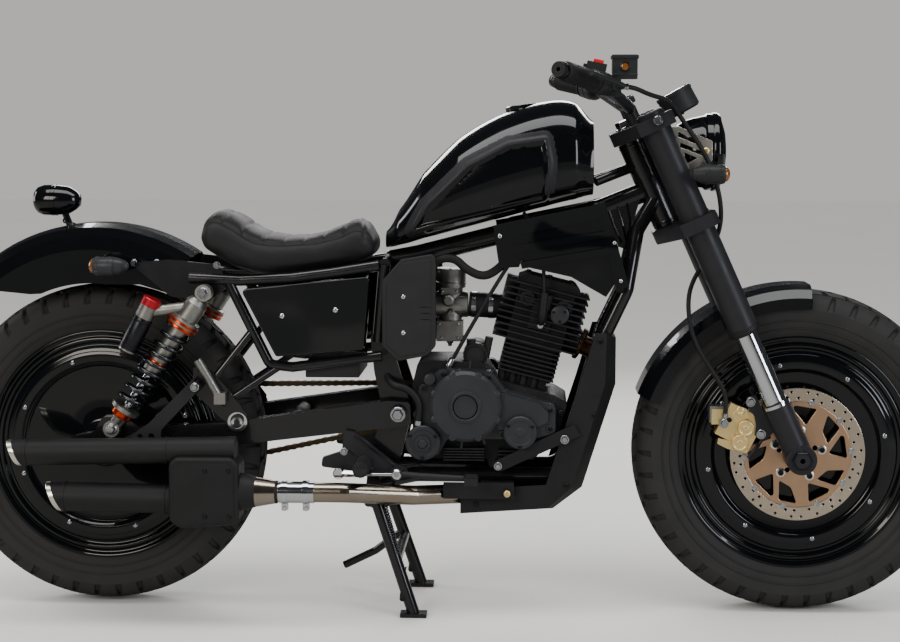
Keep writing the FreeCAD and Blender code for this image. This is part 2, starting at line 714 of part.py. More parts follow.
rearGuardCentre = Vector(-697, 0, 412)
crown = 356
rearHalf = dim.rearGuardHalf
rearSection = (
    (-rearHalf, 240), (-rearHalf, crown - 50), (12 - rearHalf, crown - 24), (34 - rearHalf, crown - 8),
    (-30, crown - 1), (30, crown - 1),
    (rearHalf - 34, crown - 8), (rearHalf - 12, crown - 24), (rearHalf, crown - 50), (rearHalf, 240),
    (rearHalf - dim.sheetWall, 240), (rearHalf - dim.sheetWall, crown - 51),
    (rearHalf - 14, crown - 26), (rearHalf - 36, crown - 11), (30, crown - 4), (-30, crown - 4),
    (36 - rearHalf, crown - 11), (14 - rearHalf, crown - 26),
    (dim.sheetWall - rearHalf, crown - 51), (dim.sheetWall - rearHalf, 240),
)
rearGuard = newBody("rearGuard")
rearSketch = newSketch(rearGuard, "YZ_Plane", [rearSection])
rearTurn = rearGuard.newObject("PartDesign::Revolution", "rearGuardTurn")
rearTurn.Profile = rearSketch
rearTurn.ReferenceAxis = (rearSketch, ["H_Axis"])
rearTurn.Angle = 80
rearTurn.Reversed = True
rearGuard.Placement = Placement(rearGuardCentre, Rotation(Vector(0, 1, 0), 34))
guardTrim = padded("guardTrim", ((-1100, 300), (-1100, 720), (-942, 690), (-930, 656), (-880, 636),
                                 (-817, 630), (-758, 633), (-678, 650), (-599, 650), (-520, 626),
                                 (-400, 590), (-400, 300)), -200, 200)
keep(cutAway("rearGuardTrimmed", rearGuard, guardTrim), "rear_mudguard")

tankHalf = float(dim.tankHalf)
tankStations = (
    (-121, 719, 752, 40), (-95, 724, 795, 86), (-46, 738, 868, 112), (23, 756, 935, 126),
    (102, 777, 980, tankHalf), (190, 800, 1006, tankHalf - 2), (250, 815, 1004, tankHalf - 12),
    (285, 824, 968, tankHalf - 34),
)
recessDepth = 7
recessOutline = ((-34, 766), (-62, 757), (-34, 806), (44, 882), (122, 922), (190, 932), (198, 890),
                 (190, 818))


def tankSection(x, low, crown, half):
    """One cut across the tank: a flat foot, two bulging sides and a domed top."""
    shoulder = low + (crown - low) * 0.55
    foot = half - 8
    return Part.Wire([
        Part.makeLine(Vector(x, -foot, low), Vector(x, foot, low)),
        Part.Arc(Vector(x, foot, low), Vector(x, half, low + (shoulder - low) * 0.5),
                 Vector(x, half - 4, shoulder)).toShape(),
        Part.Arc(Vector(x, half - 4, shoulder), Vector(x, 0, crown),
                 Vector(x, 4 - half, shoulder)).toShape(),
        Part.Arc(Vector(x, 4 - half, shoulder), Vector(x, -half, low + (shoulder - low) * 0.5),
                 Vector(x, -foot, low)).toShape()])


tankOuter = shaped("tankOuter", Part.makeLoft([tankSection(*row) for row in tankStations], True, False))
tankInner = shaped("tankInner", Part.makeLoft(
    [tankSection(x, low, crown, half - recessDepth) for x, low, crown, half in tankStations], True, False))
recessPad = padded("recessPad", recessOutline, -dim.tankHalf - 10, dim.tankHalf + 10)
recessTool = cutAway("recessTool", recessPad, tankInner)
keep(cutAway("tank", tankOuter, recessTool), "fuel_tank")

seatSide = ((-447, 719), (-422, 690), (-389, 671.5), (-302, 676), (-224, 686), (-156, 698),
            (-133, 726), (-142, 752), (-160, 775), (-180, 784), (-206, 768), (-256, 750),
            (-316, 746), (-372, 756), (-416, 786), (-448, 800), (-468, 794), (-479, 768),
            (-477, 735))
seatHalf = float(dim.seatHalf)
seatBlock = padded("seatSide", seatSide, -dim.seatHalf, dim.seatHalf)
seatPlanHigh = 1000
seatPlan = newBody("seatPlan")
planOutline = ((-500, -seatHalf * 0.8), (-470, -seatHalf), (-380, -seatHalf), (-250, -seatHalf * 0.8),
               (-120, -seatHalf * 0.72), (-120, seatHalf * 0.72), (-250, seatHalf * 0.8),
               (-380, seatHalf), (-470, seatHalf), (-500, seatHalf * 0.8))
planSketch = newSketch(seatPlan, "XY_Plane", [planOutline])
planPad = seatPlan.newObject("PartDesign::Pad", "seatPlanPad")
planPad.Profile = planSketch
planPad.Length = seatPlanHigh
seatShape = doc.addObject("Part::MultiCommon", "seatShape")
seatShape.Shapes = [seatBlock, seatPlan]
keep(seatShape, "seat")

boxOutline = ((-398, 643.4), (-330, 512), (-158, 526), (-146, 669.4))
boxes = []
covers = []
coverOutline = ((-121, 662), (-121, 536), (-91, 507), (-34, 518), (-18, 536), (-18, 715), (-84, 704))
for label, side in sides:
    low, high = sorted((side * 70, side * 118))
    boxes.append(padded("sideBox" + label, boxOutline, low, high, (), 8))
    low, high = sorted((side * (dim.railSpread + dim.seatTube), side * 134))
    covers.append(padded("airCover" + label, coverOutline, low, high, (), 10))
keep(sideBySide("sideBoxes", boxes), "side_boxes")
airHalf = dim.railSpread + dim.seatTube
covers.append(block("airBox", (-102, -airHalf, 560), (-32, airHalf, 668)))
trayHalf = dim.railSpread - 12 - dim.seatGap
batteryTray = block("batteryTray", (-276, -trayHalf, 468), (-170, trayHalf, 500))
airNode = keep(sideBySide("boxesInside", [joinedPieces("airPieces", covers), batteryTray]), "air_box")

# Engine

seatSlope = math.tan(math.radians(dim.cylinderLean))
caseOutline = ((-66, 350), (-50, 308), (172, 308), (218, 352), (238, 420),
               (212, dim.cylinderZ - (212 - dim.cylinderX) * seatSlope),
               (96, dim.cylinderZ - (96 - dim.cylinderX) * seatSlope),
               (70, 500), (-55, 500), (-66, 455))
case = padded("caseBlock", caseOutline, -dim.caseHalf + 15, dim.caseHalf - 15, (), 10)
lugOutline = ((80, 310), (84, 294), (100, 289), (118, 294), (125, 310))
lug = padded("caseLug", lugOutline, -dim.caseHalf + 15, -44)
finPieces = [case, lug]
# sump fins: first and last x, lowest, pitch, count
for group, (first, last, lowest, pitch, count) in enumerate(((-4, 76, 308, 5.5, 5), (103, 172, 312, 7, 3))):
    for number in range(count):
        height = lowest + number * pitch
        finPieces.append(block("caseFin%d%d" % (group, number), (first, -dim.caseHalf - 10, height),
                               (last, dim.caseHalf + 10, height + 3)))
finPieces.append(rod("starterMotor", (57, -68, 511), (57, 36, 511), 24))
finPieces.append(rod("starterCap", (57, -76, 511), (57, -68, 511), 17))
finPieces.append(rod("breatherStub", (48, -56, 500), (48, -56, 543), 9))
finPieces.append(rod("sensorStub", (76, -50, 506), (84, -50, 546), 8))
roomStart = gearCentre - Vector(0, chainRoomGap, 0)
roomRadius = smallInner + deep + chainRoomGap
chainRoom = Part.makeCylinder(roomRadius, 60, roomStart, Vector(0, 1, 0))
chainRoom = chainRoom.fuse(Part.makeBox(60, 60, 2 * roomRadius + 10, roomStart - Vector(
    60, 0, roomRadius + 10)))
chainTool = shaped("chainRoom", chainRoom)
caseNode = keep(cutAway("engineCaseCut", joinedPieces("engineCase", finPieces), chainTool), "engine_case")

rightFace = -(dim.caseHalf - 15)
rightOutline = ((-64, 348), (-50, 320), (-14, 320), (4, 353), (168, 353), (214, 366), (214, 420),
                (118, 448), (90, 485), (-10, 490), (-52, 450))
rightCover = padded("rightCaseCover", rightOutline, rightFace - 34, rightFace, (), 10)
clutchPlace = (dim.clutchX, rightFace - 34, dim.clutchZ)
clutchProfile = ((0, 0), (dim.clutchRadius, 0), (dim.clutchRadius, 22), (dim.clutchRadius - 6, 28),
                 (29, 31), (27, 27), (24, 27), (22, 30), (0, 30))
clutch = turned("clutchTurn", clutchProfile, clutchPlace, (dim.clutchX, -300, dim.clutchZ))
coverFront = rightFace - 34
filterCover = rod("filterCover", (146, coverFront, 369), (146, coverFront - 20, 369), 31)
kickCover = rod("kickCover", (-43, coverFront, 347), (-43, coverFront - 16, 347), 33)
kickShaft = rod("kickShaft", (-43, coverFront - 16, 347), (-43, coverFront - 24, 347), 15)
taperOutline = ((100, 447), (182, 425), (200, 407), (199, 388), (182, 380), (100, 372))
taperCover = padded("taperCover", taperOutline, coverFront - 9, coverFront, (), 7)
rightCoverNode = keep(joinedPieces("rightCoverPieces", [
    rightCover, clutch, filterCover, kickCover, kickShaft, taperCover]), "right_engine_cover")
leftFace = dim.caseHalf - 15
leftCover = padded("leftCaseCover", rightOutline, leftFace, leftFace + 26, (), 10)
generator = turned("generatorTurn", ((0, 0), (66, 0), (66, 18), (58, 26), (0, 28)),
                   (70, leftFace + 26, 410), (70, 400, 410))
leftPieces = joinedPieces("leftCoverPieces", [leftCover, generator])
keep(cutAway("leftCoverCut", leftPieces, chainTool), "left_engine_cover")

cylinderFoot = Vector(dim.cylinderX, 0, dim.cylinderZ)
cylinderPlace = Placement(cylinderFoot, Rotation(Vector(0, 1, 0), float(dim.cylinderLean)))


def finBlock(name, lowest, highest, halfDeep, halfWide, count, thickness, coreDeep, coreWide):
    """A core with flat cooling fins, drawn upright from the cylinder's foot."""
    pieces = [block(name + "Core", (-coreDeep, -coreWide, lowest), (coreDeep, coreWide, highest))]
    pitch = (highest - lowest - float(thickness)) / (count - 1)
    for number in range(count):
        low = lowest + number * pitch
        body = newBody("%sFin%d" % (name, number))
        outline = ((-halfDeep, -halfWide), (halfDeep, -halfWide), (halfDeep, halfWide),
                   (-halfDeep, halfWide))
        sketch = newSketch(body, "XY_Plane", [outline])
        pad = body.newObject("PartDesign::Pad", "%sFin%dPad" % (name, number))
        pad.Profile = sketch
        bind(pad, "Length", thickness)
        body.Placement.Base = Vector(0, 0, low)
        pieces.append(body)
    fuse = joinedPieces(name, pieces)
    fuse.Placement = cylinderPlace
    return fuse


barrelFootHeight = 20
barrelTop = 84
headCrown = 198
barrel = finBlock("barrel", barrelFootHeight, barrelTop, 56, 62, int(dim.cylinderFins), dim.finThickness,
                  44, 46)
footPieces = [block("barrelFoot", (-42, -44, 0), (44, 44, barrelFootHeight))]
for label, side in sides:
    for number, place in enumerate((-46, -24, -2, 20)):
        footPieces.append(rod("barrelStud%s%d" % (label, number), (place, side * 46, 0),
                              (place, side * 46, barrelFootHeight), 7))
barrelBase = joinedPieces("barrelBase", footPieces)
barrelBase.Placement = cylinderPlace
keep(joinedPieces("cylinderPieces", [barrel, barrelBase]), "engine_cylinder")
head = finBlock("head", barrelTop, headCrown, 84, 66, int(dim.headFins), dim.finThickness, 56, 50)
camPieces = [padded("camCover", ((-62, headCrown), (-62, headCrown + 8), (-48, headCrown + 17),
                                 (52, headCrown + 17), (64, headCrown + 6), (64, headCrown)), -48, 48),
             rod("plugCap", (2, -56, headCrown - 78), (2, -68, headCrown - 10), 11),
             padded("plugWell", ((-20, headCrown - 84), (-20, headCrown - 30), (22, headCrown - 30),
                                 (22, headCrown - 84)), -58, -49),
             rod("camEndRight", (34, -70, headCrown - 44), (34, -49, headCrown - 44), 17),
             rod("camEndLeft", (34, 70, headCrown - 44), (34, 49, headCrown - 44), 17)]
camGear = joinedPieces("camPieces", camPieces)
camGear.Placement = cylinderPlace
intakeBoss = rod("intakeBoss", (186, -6, 597), (96, -6, 603), 24)
exhaustBoss = rod("exhaustBoss", (196, -14, 560), (262, -14, 530), 26)
keep(joinedPieces("headWithPorts", [head, camGear, intakeBoss, exhaustBoss]), "engine_head")

# Fuel and exhaust

carbPieces = [
    rod("carbBarrel", (4, -6, 560), (6, -6, 650), 24),
    rod("carbTop", (6, -6, 640), (7, -6, 678), 29),
    block("carbBowl", (-22, -32, 534), (30, 20, 575)),
    rod("carbThroat", (-32, -6, 606), (40, -6, 606), 26),
]
keep(joinedPieces("carbPieces", carbPieces), "carburettor")
keep(rod("manifold", (42, -6, 606.6), (96, -6, 603), 25), "intake_manifold")
pipeRun = ((262, -14, 530), (295, -14, 515), (290, -18, 420), (248, -20, 300), (206, -22, 243),
           (120, -30, 237), (40, -75, 237), (-60, -140, 246), (-190, -200, 262), (-320, -200, 262))
pipe = shaped("pipeTube", bentTube(pipeRun, float(dim.pipeRadius), 22))
cone = doc.addObject("Part::Cone", "pipeCone")
bind(cone, "Radius1", dim.pipeRadius + 3)
bind(cone, "Radius2", dim.pipeRadius + 16)
cone.Height = 72
cone.Placement = along((-320, -200, 262), (-392, -200, 262))
keep(joinedPieces("exhaustPieces", [pipe, cone]), "exhaust_pipe")

mufflerY = -float(dim.mufflerY)
upperStart = (-402, mufflerY, 344)
upperEnd = (-838, mufflerY, 334)
lowerStart = (-480, mufflerY, 246)
lowerEnd = (-765, mufflerY, 250)
boxShape = ((-392, 206), (-504, 196), (-520, 210), (-520, 334), (-392, 334))
muffler = [
    rod("upperBarrel", upperStart, upperEnd, dim.barrelRadius),
    rod("lowerBarrel", lowerStart, lowerEnd, dim.barrelRadius + 3),
    padded("mufflerBox", boxShape, mufflerY - 38, mufflerY + 38, (), 12),
]
tips = joinedPieces("mufflerPieces", muffler)
slash = []
for (x, y, z), back in ((upperEnd, 26), (lowerEnd, 30)):
    corner = [Vector(x - 40, -300, z - 60), Vector(x + back + 20, -300, z - 60),
              Vector(x - back, -300, z + 60), Vector(x - 40, -300, z + 60)]
    slash.append(Part.Face(Part.makePolygon(corner + corner[:1])).extrude(Vector(0, 250, 0)))
slashTool = shaped("slashTool", Part.makeCompound(slash))
mufflerNode = cutAway("mufflerCut", tips, slashTool)
keep(mufflerNode, "muffler")
hangerOutline = ((-634, 351), (-551, 349), (-548, 374), (-470, 456), (-486, 472), (-573, 386),
                 (-606, 364))
hangerPieces = [padded("hangerPlate", hangerOutline, -160, -154, [(-568, 361, 6), (-590, 361, 5)]),
                rod("hangerBolt", (-481, -pegPlateOuter, 458), (-481, -165, 458), 8),
                rod("mufflerStud", (-600, -157, 356), (-600, -180, 352), 6)]
keep(cutAway("hangerCut", joinedPieces("hanger", hangerPieces), mufflerNode), "muffler_hanger")

# Hoses held at both ends

hoseRuns = (
    # name, radius, points
    ("airHose", 8.5, ((-50, -92, 664), (-20, -92, 702), (17, -90, 705), (39, -88, 682), (70, -84, 667),
                      (95, -76, 676), (126, -58, 706), (160, -20, 752))),
    ("clutchCable", 4, ((4, -84, 488), (26, -84, 530), (104, -82, 664), (140, -60, 716), (176, -16, 758))),
    ("breatherHose", 7, ((-114, seatGap - plateOuter, 472), (-108, -124, 460), (-71, -125, 453),
                         (-49, -125, 427), (-51, -124, 396), (-54, -122, 376))),
)
hoses = [shaped(name, bentTube(points, radius)) for name, radius, points in hoseRuns]
hoseSeats = joinedPieces("hoseSeats", [backboneNode, cradleNode, caseNode, rightCoverNode, airNode])
keep(cutAway("hosesCut", sideBySide("hoseSet", hoses), hoseSeats), "hoses")

# Skid plate under the engine

frontLine = ((331, 549), (331, 458), (267, 253), (210, 209), (29, 197))
bevelLine = ((312, 560), (310, 462), (247, 258), (200, 216), (29, 204))
backLine = ((29, 252), (196, 262), (258, 452), (290, 560))
skidWall = 4
skidHalf = 108
skidFlat = 75


def skidStrip(line, y):
    """One folded sheet's cut across the motorcycle, a wall thick."""
    outer = [Vector(x, y, z) for x, z in line]
    inner = [Vector(x - skidWall, y, z + skidWall * 0.7) for x, z in reversed(line[:-1])]
    inner.insert(0, Vector(line[-1][0], y, line[-1][1] + skidWall))
    places = outer + inner
    return Part.makePolygon(places + places[:1])


skidPieces = [shaped("skidFront", Part.makeLoft(
    [skidStrip(frontLine, -skidFlat), skidStrip(frontLine, skidFlat)], True, True))]
for label, side in sides:
    skidPieces.append(shaped("skidBevel" + label, Part.makeLoft(
        [skidStrip(frontLine, side * skidFlat), skidStrip(bevelLine, side * skidHalf)], True, True)))
    low, high = sorted((side * (skidHalf - skidWall), side * skidHalf))
    skidPieces.append(padded("skidSide" + label, bevelLine + backLine, low, high))
skidPieces.append(padded("skidStrut", ((92, 308), (108, 290), (262, 362), (250, 384)),
                         -119, -115))
skidPieces.append(rod("strutSpacer", (250, -119, 368), (250, -skidHalf, 368), 8))
skidPieces.append(rod("strutBolt", (103, -123, 301), (103, -80, 301), 9))
skidPieces.append(block("sideRail", (-3, -131, 238), (134, -127, 270)))
skidPieces.append(block("sideRailFoot", (70, -128, 238), (134, 2 - skidHalf, 270)))
skidPieces.append(rod("sideRailBolt", (121, -138, 250), (121, -130, 250), 8))
keep(joinedPieces("skidPieces", skidPieces), "skid_plate")

# Shrouds and slats before the engine

# first and last point of the upper edge, height
slatEnds = (((120, 774), (306, 812), 27), ((124, 728), (316, 760), 13), ((144, 698), (332, 730), 13))
slatOuter = 113
slatInner = slatOuter - 5
postInner = slatInner - 5
shroudInner = postInner - 5
slatPieces = []
shrouds = []
for label, side in sides:
    low, high = sorted((side * slatInner, side * slatOuter))
    for number, ((x1, z1), (x2, z2), deep) in enumerate(slatEnds):
        outline = ((x1, z1), (x2, z2), (x2 + 2, z2 - deep), (x1 + 4, z1 - deep))
        slatPieces.append(padded("slat%d%s" % (number, label), outline, low, high))
    inner, outer = sorted((side * postInner, side * slatInner))
    slatPieces.append(padded("slatPlate" + label, ((92, 768), (176, 783), (142, 688), (104, 686)),
                             inner, outer))
    slatPieces.append(padded("frontPost" + label, ((290, 810), (306, 814), (354, 652), (330, 640)),
                             inner, outer))
    slatPieces.append(rod("postBoss" + label, (338, side * 62, 644), (338, side * (postInner + 1), 644), 6))
    inner, outer = sorted((side * shroudInner, side * postInner))
    shrouds.append(padded("shroud" + label, ((150, 776), (146, 690), (242, 669), (310, 630),
                                             (330, 660), (298, 804)), inner, outer))
slatSides = sideBySide("slatSides", [joinedPieces("slatsRight", slatPieces[:6]),
                                     joinedPieces("slatsLeft", slatPieces[6:])])
keep(cutAway("slatsCut", slatSides, cradleNode), "front_slats")
keep(sideBySide("shroudPair", shrouds), "front_shrouds")

# Lights and indicators at the rear

lampProfile = ((0, 0), (18, 3), (28, 18), (30, 40), (26, 70), (12, 90), (0, 92))
tailLamp = turned("tailLamp", lampProfile, (-828, 0, 811), (-700, 0, 811))
tailStalk = rod("tailStalk", (-760, 0, 764), (-772, 0, 790), 7)
keep(joinedPieces("tailPieces", [tailLamp, tailStalk]), "tail_light")
bullet = ((0, 0), (14, 1), (18, 10), (18, 40), (12, 60), (5, 68), (0, 69))
rearBullets = []
for label, side in sides:
    rearBullets.append(joinedPieces("rearBullet" + label, [
        turned("rearBulletTurn" + label, bullet, (-677, side * 148, 690), (-500, side * 148, 690)),
        rod("rearBulletStalk" + label, (-640, side * dim.rearGuardHalf, 684),
            (-640, side * 140, 684), 6)]))
keep(sideBySide("rearBullets", rearBullets), "rear_indicators")

# Foot controls

pegPieces = []
for label, side in sides:
    low, high = sorted((side * armOuter, side * (armOuter + 14)))
    outline = ((-196, 372), (-176, 368), (-96, 306), (-72, 296), (-76, 276), (-150, 288),
               (-240, 300), (-238, 318), (-200, 330))
    cube = sorted((side * pegPlateOuter, side * (pegPlateOuter + 22)))
    pegPieces.append(joinedPieces("foldedPeg" + label, [
        rod("foldedBar" + label, (-438, side * (pegPlateOuter + 11), 438),
            (-479, side * (pegPlateOuter + 11), 508), 9),
        block("foldedHinge" + label, (-446, cube[0], 423), (-424, cube[1], 445))]))
    pegPieces.append(joinedPieces("pegSide" + label, [
        padded("pegBracket" + label, outline, low, high, (), 5),
        rod("peg" + label, (-156, side * (armOuter + 10), 310), (-156, side * (armOuter + 98), 312), 13),
        rod("pegBolt" + label, (-186, side * plateOuter, 352), (-186, side * armOuter, 352), 8)]))
keep(sideBySide("pegs", pegPieces), "footpegs")
pedalRun = ((-92, -150, 290), (-40, -166, 289), (40, -172, 286), (62, -172, 283))
pedal = shaped("pedalArm", bentTube(pedalRun, 6, 10))
pedalPad = block("pedalPad", (40, -196, 276), (66, -166, 290))
pedalBoss = rod("pedalBoss", (-92, -armOuter - 14, 290), (-92, -158, 290), 13)
shiftArm = rod("shiftArm", (-50, 134, 335), (66, 142, 297), 5)
shiftPad = rod("shiftPad", (66, 138, 297), (66, 178, 297), 8)
shiftBoss = rod("shiftBoss", (-50, leftFace + 26, 335), (-50, 140, 335), 11)
linkOutline = ((-292, 330), (-279, 344), (-234, 312), (-198, 300), (-192, 286), (-206, 280), (-240, 294))
brakeLink = joinedPieces("brakeLink", [
    padded("linkPlate", linkOutline, -150, -144, [(-284, 335, 4)], 3),
    rod("linkPivot", (-204, -armOuter - 14, 291), (-204, -156, 291), 9)])
keep(sideBySide("footLevers", [joinedPieces("pedalPieces", [pedal, pedalPad, pedalBoss]), brakeLink,
                               joinedPieces("shiftPieces", [shiftArm, shiftPad, shiftBoss])]),
     "foot_levers")

# Steering: yokes, fork, handlebar, lamp, front mudguard and brake

forkPlaces = [(label, side, side * dim.forkSpread) for label, side in sides]


def onForkPlacement(across=0):
    turn = Rotation(Vector(0, 1, 0), -float(dim.rake))
    return Placement(headTop + Vector(0, float(across), 0), turn)


def yoke(name, top):
    body = newBody(name)
    wide = dim.forkSpread + dim.forkCoverRadius + 10
    outline = ((-34, -26), (14, -wide), (dim.forkOffset + 30, -wide), (dim.forkOffset + 40, -wide + 14),
               (dim.forkOffset + 34, -60), (58, 0), (dim.forkOffset + 34, 60),
               (dim.forkOffset + 40, wide - 14), (dim.forkOffset + 30, wide), (14, wide), (-34, 26))
    holes = [(dim.forkOffset, across, dim.forkCoverRadius) for label, side, across in forkPlaces]
    sketch = newSketch(body, "XY_Plane", [outline], holes)
    pad = body.newObject("PartDesign::Pad", name + "Pad")
    pad.Profile = sketch
    bind(pad, "Length", dim.yokeThickness)
    body.Placement = onForkPlacement().multiply(Placement(Vector(0, 0, float(top)), Rotation()))
    return body


stem = rod("stem", onFork(0, 0, -dim.yokeDrop - dim.yokeThickness), onFork(0, 0, 8), dim.stemRadius)
yokes = [yoke("topYoke", -dim.yokeThickness), yoke("lowerYoke", -dim.yokeDrop - dim.yokeThickness), stem]
for label, side in sides:
    yokes.append(rod("riser" + label, onFork(20, side * 45, -4), onFork(20, side * 45, 34), 14))
barMiddle = onFork(20, 0, 34)
barHole = rod("barHole", barMiddle - Vector(0, 80, 0), barMiddle + Vector(0, 80, 0), dim.barRadius)
keep(cutAway("yokesCut", joinedPieces("yokePieces", yokes), barHole), "yokes")

coversPair = []
stanchions = []
lowers = []
for label, side, across in forkPlaces:
    coversPair.append(rod("forkCover" + label, onFork(dim.forkOffset, across, -forkCoverEnd),
                          onFork(dim.forkOffset, across, dim.forkCapRise), dim.forkCoverRadius))
    stanchions.append(rod("stanchion" + label, onFork(dim.forkOffset, across, -stanchionEnd),
                          onFork(dim.forkOffset, across, -forkCoverEnd), dim.stanchionRadius))
    leg = rod("forkLeg" + label, onFork(dim.forkOffset, across, -dim.forkLength),
              onFork(dim.forkOffset, across, -stanchionEnd), dim.forkLowerRadius)
    clamp = rod("axleClamp" + label, frontAxle + Vector(0, side * (float(dim.forkSpread) - 26), 0),
                frontAxle + Vector(0, side * (float(dim.forkSpread) + 26), 0), 29)
    pair = joinedPieces("lowerPieces" + label, [leg, clamp])
    hole = rod("lowerHole" + label, frontAxle - Vector(0, 300, 0), frontAxle + Vector(0, 300, 0),
               dim.axleRadius)
    lowers.append(cutAway("lower" + label, pair, hole))
keep(sideBySide("forkCovers", coversPair), "fork_tubes")
keep(sideBySide("stanchionPair", stanchions), "fork_stanchions")

bar = []
for label, side in sides:
    places = [onFork(20, 0, 34), onFork(20, side * 90, 34), onFork(-9, side * 236, 90),
              onFork(-78, side * 384, 147)]
    bar.append(shaped("bar" + label, bentTube(places, float(dim.barRadius), 60)))
barEnds = []
for label, side in sides:
    start = onFork(-9, side * 236, 90)
    end = onFork(-78, side * 384, 147)
    barEnds.append(rod("barEndHole" + label, end - (end - start).normalize() * 30, end + (end - start) * 0.2,
                       dim.barEndBore))
barTube = cutAway("barBored", joinedPieces("barPieces", bar), joinedPieces("barEndHoles", barEnds))
keep(barTube, "handlebar")

gripStart = onFork(-9, 236, 90)
gripEnd = onFork(-78, 384, 147)
gripPieces = []
controls = []
for label, side in sides:
    start = Vector(gripStart.x, side * gripStart.y, gripStart.z)
    end = Vector(gripEnd.x, side * gripEnd.y, gripEnd.z)
    line = (end - start).normalize()
    first = start + line * 52
    profile = ((dim.barRadius, 0), (dim.gripRadius + 4, 0), (dim.gripRadius + 4, 5),
               (dim.gripRadius, 8), (dim.gripRadius, 106), (dim.gripRadius - 2, 112), (12, 112),
               (14, 118), (14, 130), (dim.barEndBore, 130), (dim.barEndBore, (end - first).Length),
               (dim.barRadius, (end - first).Length))
    gripPieces.append(turned("grip" + label, profile, first, end))
    housing = turned("switch" + label, ((dim.barRadius, 8), (20, 8), (22, 12), (22, 44),
                                         (20, 48), (dim.barRadius, 48)), start, end)
    lever = shaped("lever" + label, bentTube([
        start + line * 20 + Vector(22, 0, -6), start + line * 40 + Vector(52, 0, -8),
        start + line * 168 + Vector(52, 0, -4)], 5, 16))
    perch = rod("perch" + label, start + line * 20 + Vector(14, 0, -2),
                start + line * 20 + Vector(30, 0, -8), 9)
    controls.append(joinedPieces("control" + label, [housing, lever, perch]))
keep(sideBySide("grips", gripPieces), "grips")
reservoirMiddle = onFork(-5, -218, 84)
reservoirFoot = reservoirMiddle + Vector(4, -14, 16)
controls[0] = joinedPieces("controlWithReservoir", [
    controls[0],
    block("reservoirBox", reservoirFoot, reservoirFoot + Vector(46, 42, 44)),
    block("reservoirPerch", reservoirMiddle + Vector(-18, -20, -16), reservoirMiddle + Vector(20, 6, 18))])
keep(cutAway("controlsCut", sideBySide("controlPair", controls), barTube), "bar_controls")

gaugeFace = Vector(441, 0, 1024)
gaugeBack = Vector(462, 0, 986)
gaugeCup = turned("gaugeCup", ((0, 0), (34, 0), (36, 3), (36, 40), (32, 44), (0, 44)), gaugeFace, gaugeBack)
gaugeLeg = rod("gaugeLeg", onFork(61, 0, -12), Vector(462, 0, 988), 6)
keep(joinedPieces("gaugePieces", [gaugeCup, gaugeLeg]), "gauge")

lampMiddle = Vector(531, 0, 908)
lampBack = Vector(431, 0, 908)
lampShell = turned("lampShell", ((0, 0), (60, 0), (70, 6), (75, 12), (75, 26), (70, 30), (62, 66),
                                 (40, 92), (0, 102)), lampMiddle, lampBack)
keep(lampShell, "headlight")
brackets = []
bullets = []
lampSlots = (((446, 947), (486, 931), (486, 922), (446, 938)),
             ((450, 927), (500, 907), (500, 899), (450, 918)),
             ((458, 908), (484, 897), (462, 886)))
# the bracket's plates stand just off the lamp, each a plate thick
lampPlateInner = 75.3
lampPlateOuter = 80.7
for label, side in sides:
    low, high = sorted((side * lampPlateInner, side * lampPlateOuter))
    outline = ((402, 950), (446, 958), (512, 930), (512, 892), (470, 868), (436, 880))
    lampPlate = padded("lampBracket" + label, outline, low, high, (), 3)
    slotPads = [padded("lampSlot%d%s" % (number, label), slot, low - 2, high + 2)
                for number, slot in enumerate(lampSlots)]
    brackets.append(cutAway("lampBracketCut" + label, lampPlate,
                            joinedPieces("lampSlots" + label, slotPads)))
    bullets.append(joinedPieces("frontBullet" + label, [
        turned("frontBulletTurn" + label, bullet, (530, side * 152, 868), (400, side * 152, 868)),
        rod("frontBulletStalk" + label, (494, side * (lampPlateOuter + 0.2), 884),
            (494, side * 150, 872), 6)]))
keep(sideBySide("lampBrackets", brackets), "headlight_bracket")
keep(sideBySide("frontBullets", bullets), "front_indicators")

guardInside = tyreRadius + dim.guardGap
guardTop = guardInside + dim.sheetWall
half = dim.frontGuardHalf
guardSection = (
    (-half, guardTop - 46), (-half, guardTop - 24), (12 - half, guardTop - 8), (38 - half, guardTop),
    (half - 38, guardTop), (half - 12, guardTop - 8), (half, guardTop - 24), (half, guardTop - 46),
    (half - dim.sheetWall, guardTop - 46), (half - dim.sheetWall, guardTop - 25),
    (half - 14, guardInside - 8), (half - 39, guardInside),
    (39 - half, guardInside), (14 - half, guardInside - 8),
    (dim.sheetWall - half, guardTop - 25), (dim.sheetWall - half, guardTop - 46),
)
guard = newBody("frontGuard")
guardSketch = newSketch(guard, "YZ_Plane", [guardSection])
guardTurn = guard.newObject("PartDesign::Revolution", "frontGuardTurn")
guardTurn.Profile = guardSketch
guardTurn.ReferenceAxis = (guardSketch, ["H_Axis"])
guardTurn.Angle = 74
guardTurn.Reversed = True
guard.Placement = Placement(frontAxle, Rotation(Vector(0, 1, 0), 4))
tabs = [guard]
# distance in from the mudguard's crown, and turn round the axle in degrees
tabCorners = ((4, 118.4), (29, 106.6), (65, 111.2), (41, 119.1))
tabOutline = [(frontAxle.x + (guardTop - inward) * math.cos(math.radians(turn)),
               frontAxle.z + (guardTop - inward) * math.sin(math.radians(turn)))
              for inward, turn in tabCorners]
for label, side in sides:
    low, high = sorted((side * half, side * (dim.forkSpread - dim.forkCoverRadius)))
    tabs.append(padded("guardTab" + label, tabOutline, low, high))
keep(joinedPieces("guardPieces", tabs), "front_mudguard")

caliperPlace = onFork(dim.forkOffset - 84, -76, -dim.forkLength + 104)
toAxle = (Vector(frontAxle.x, 0, frontAxle.z) - Vector(caliperPlace.x, 0, caliperPlace.z)).normalize()
caliperAxis = toAxle.cross(Vector(0, 1, 0))


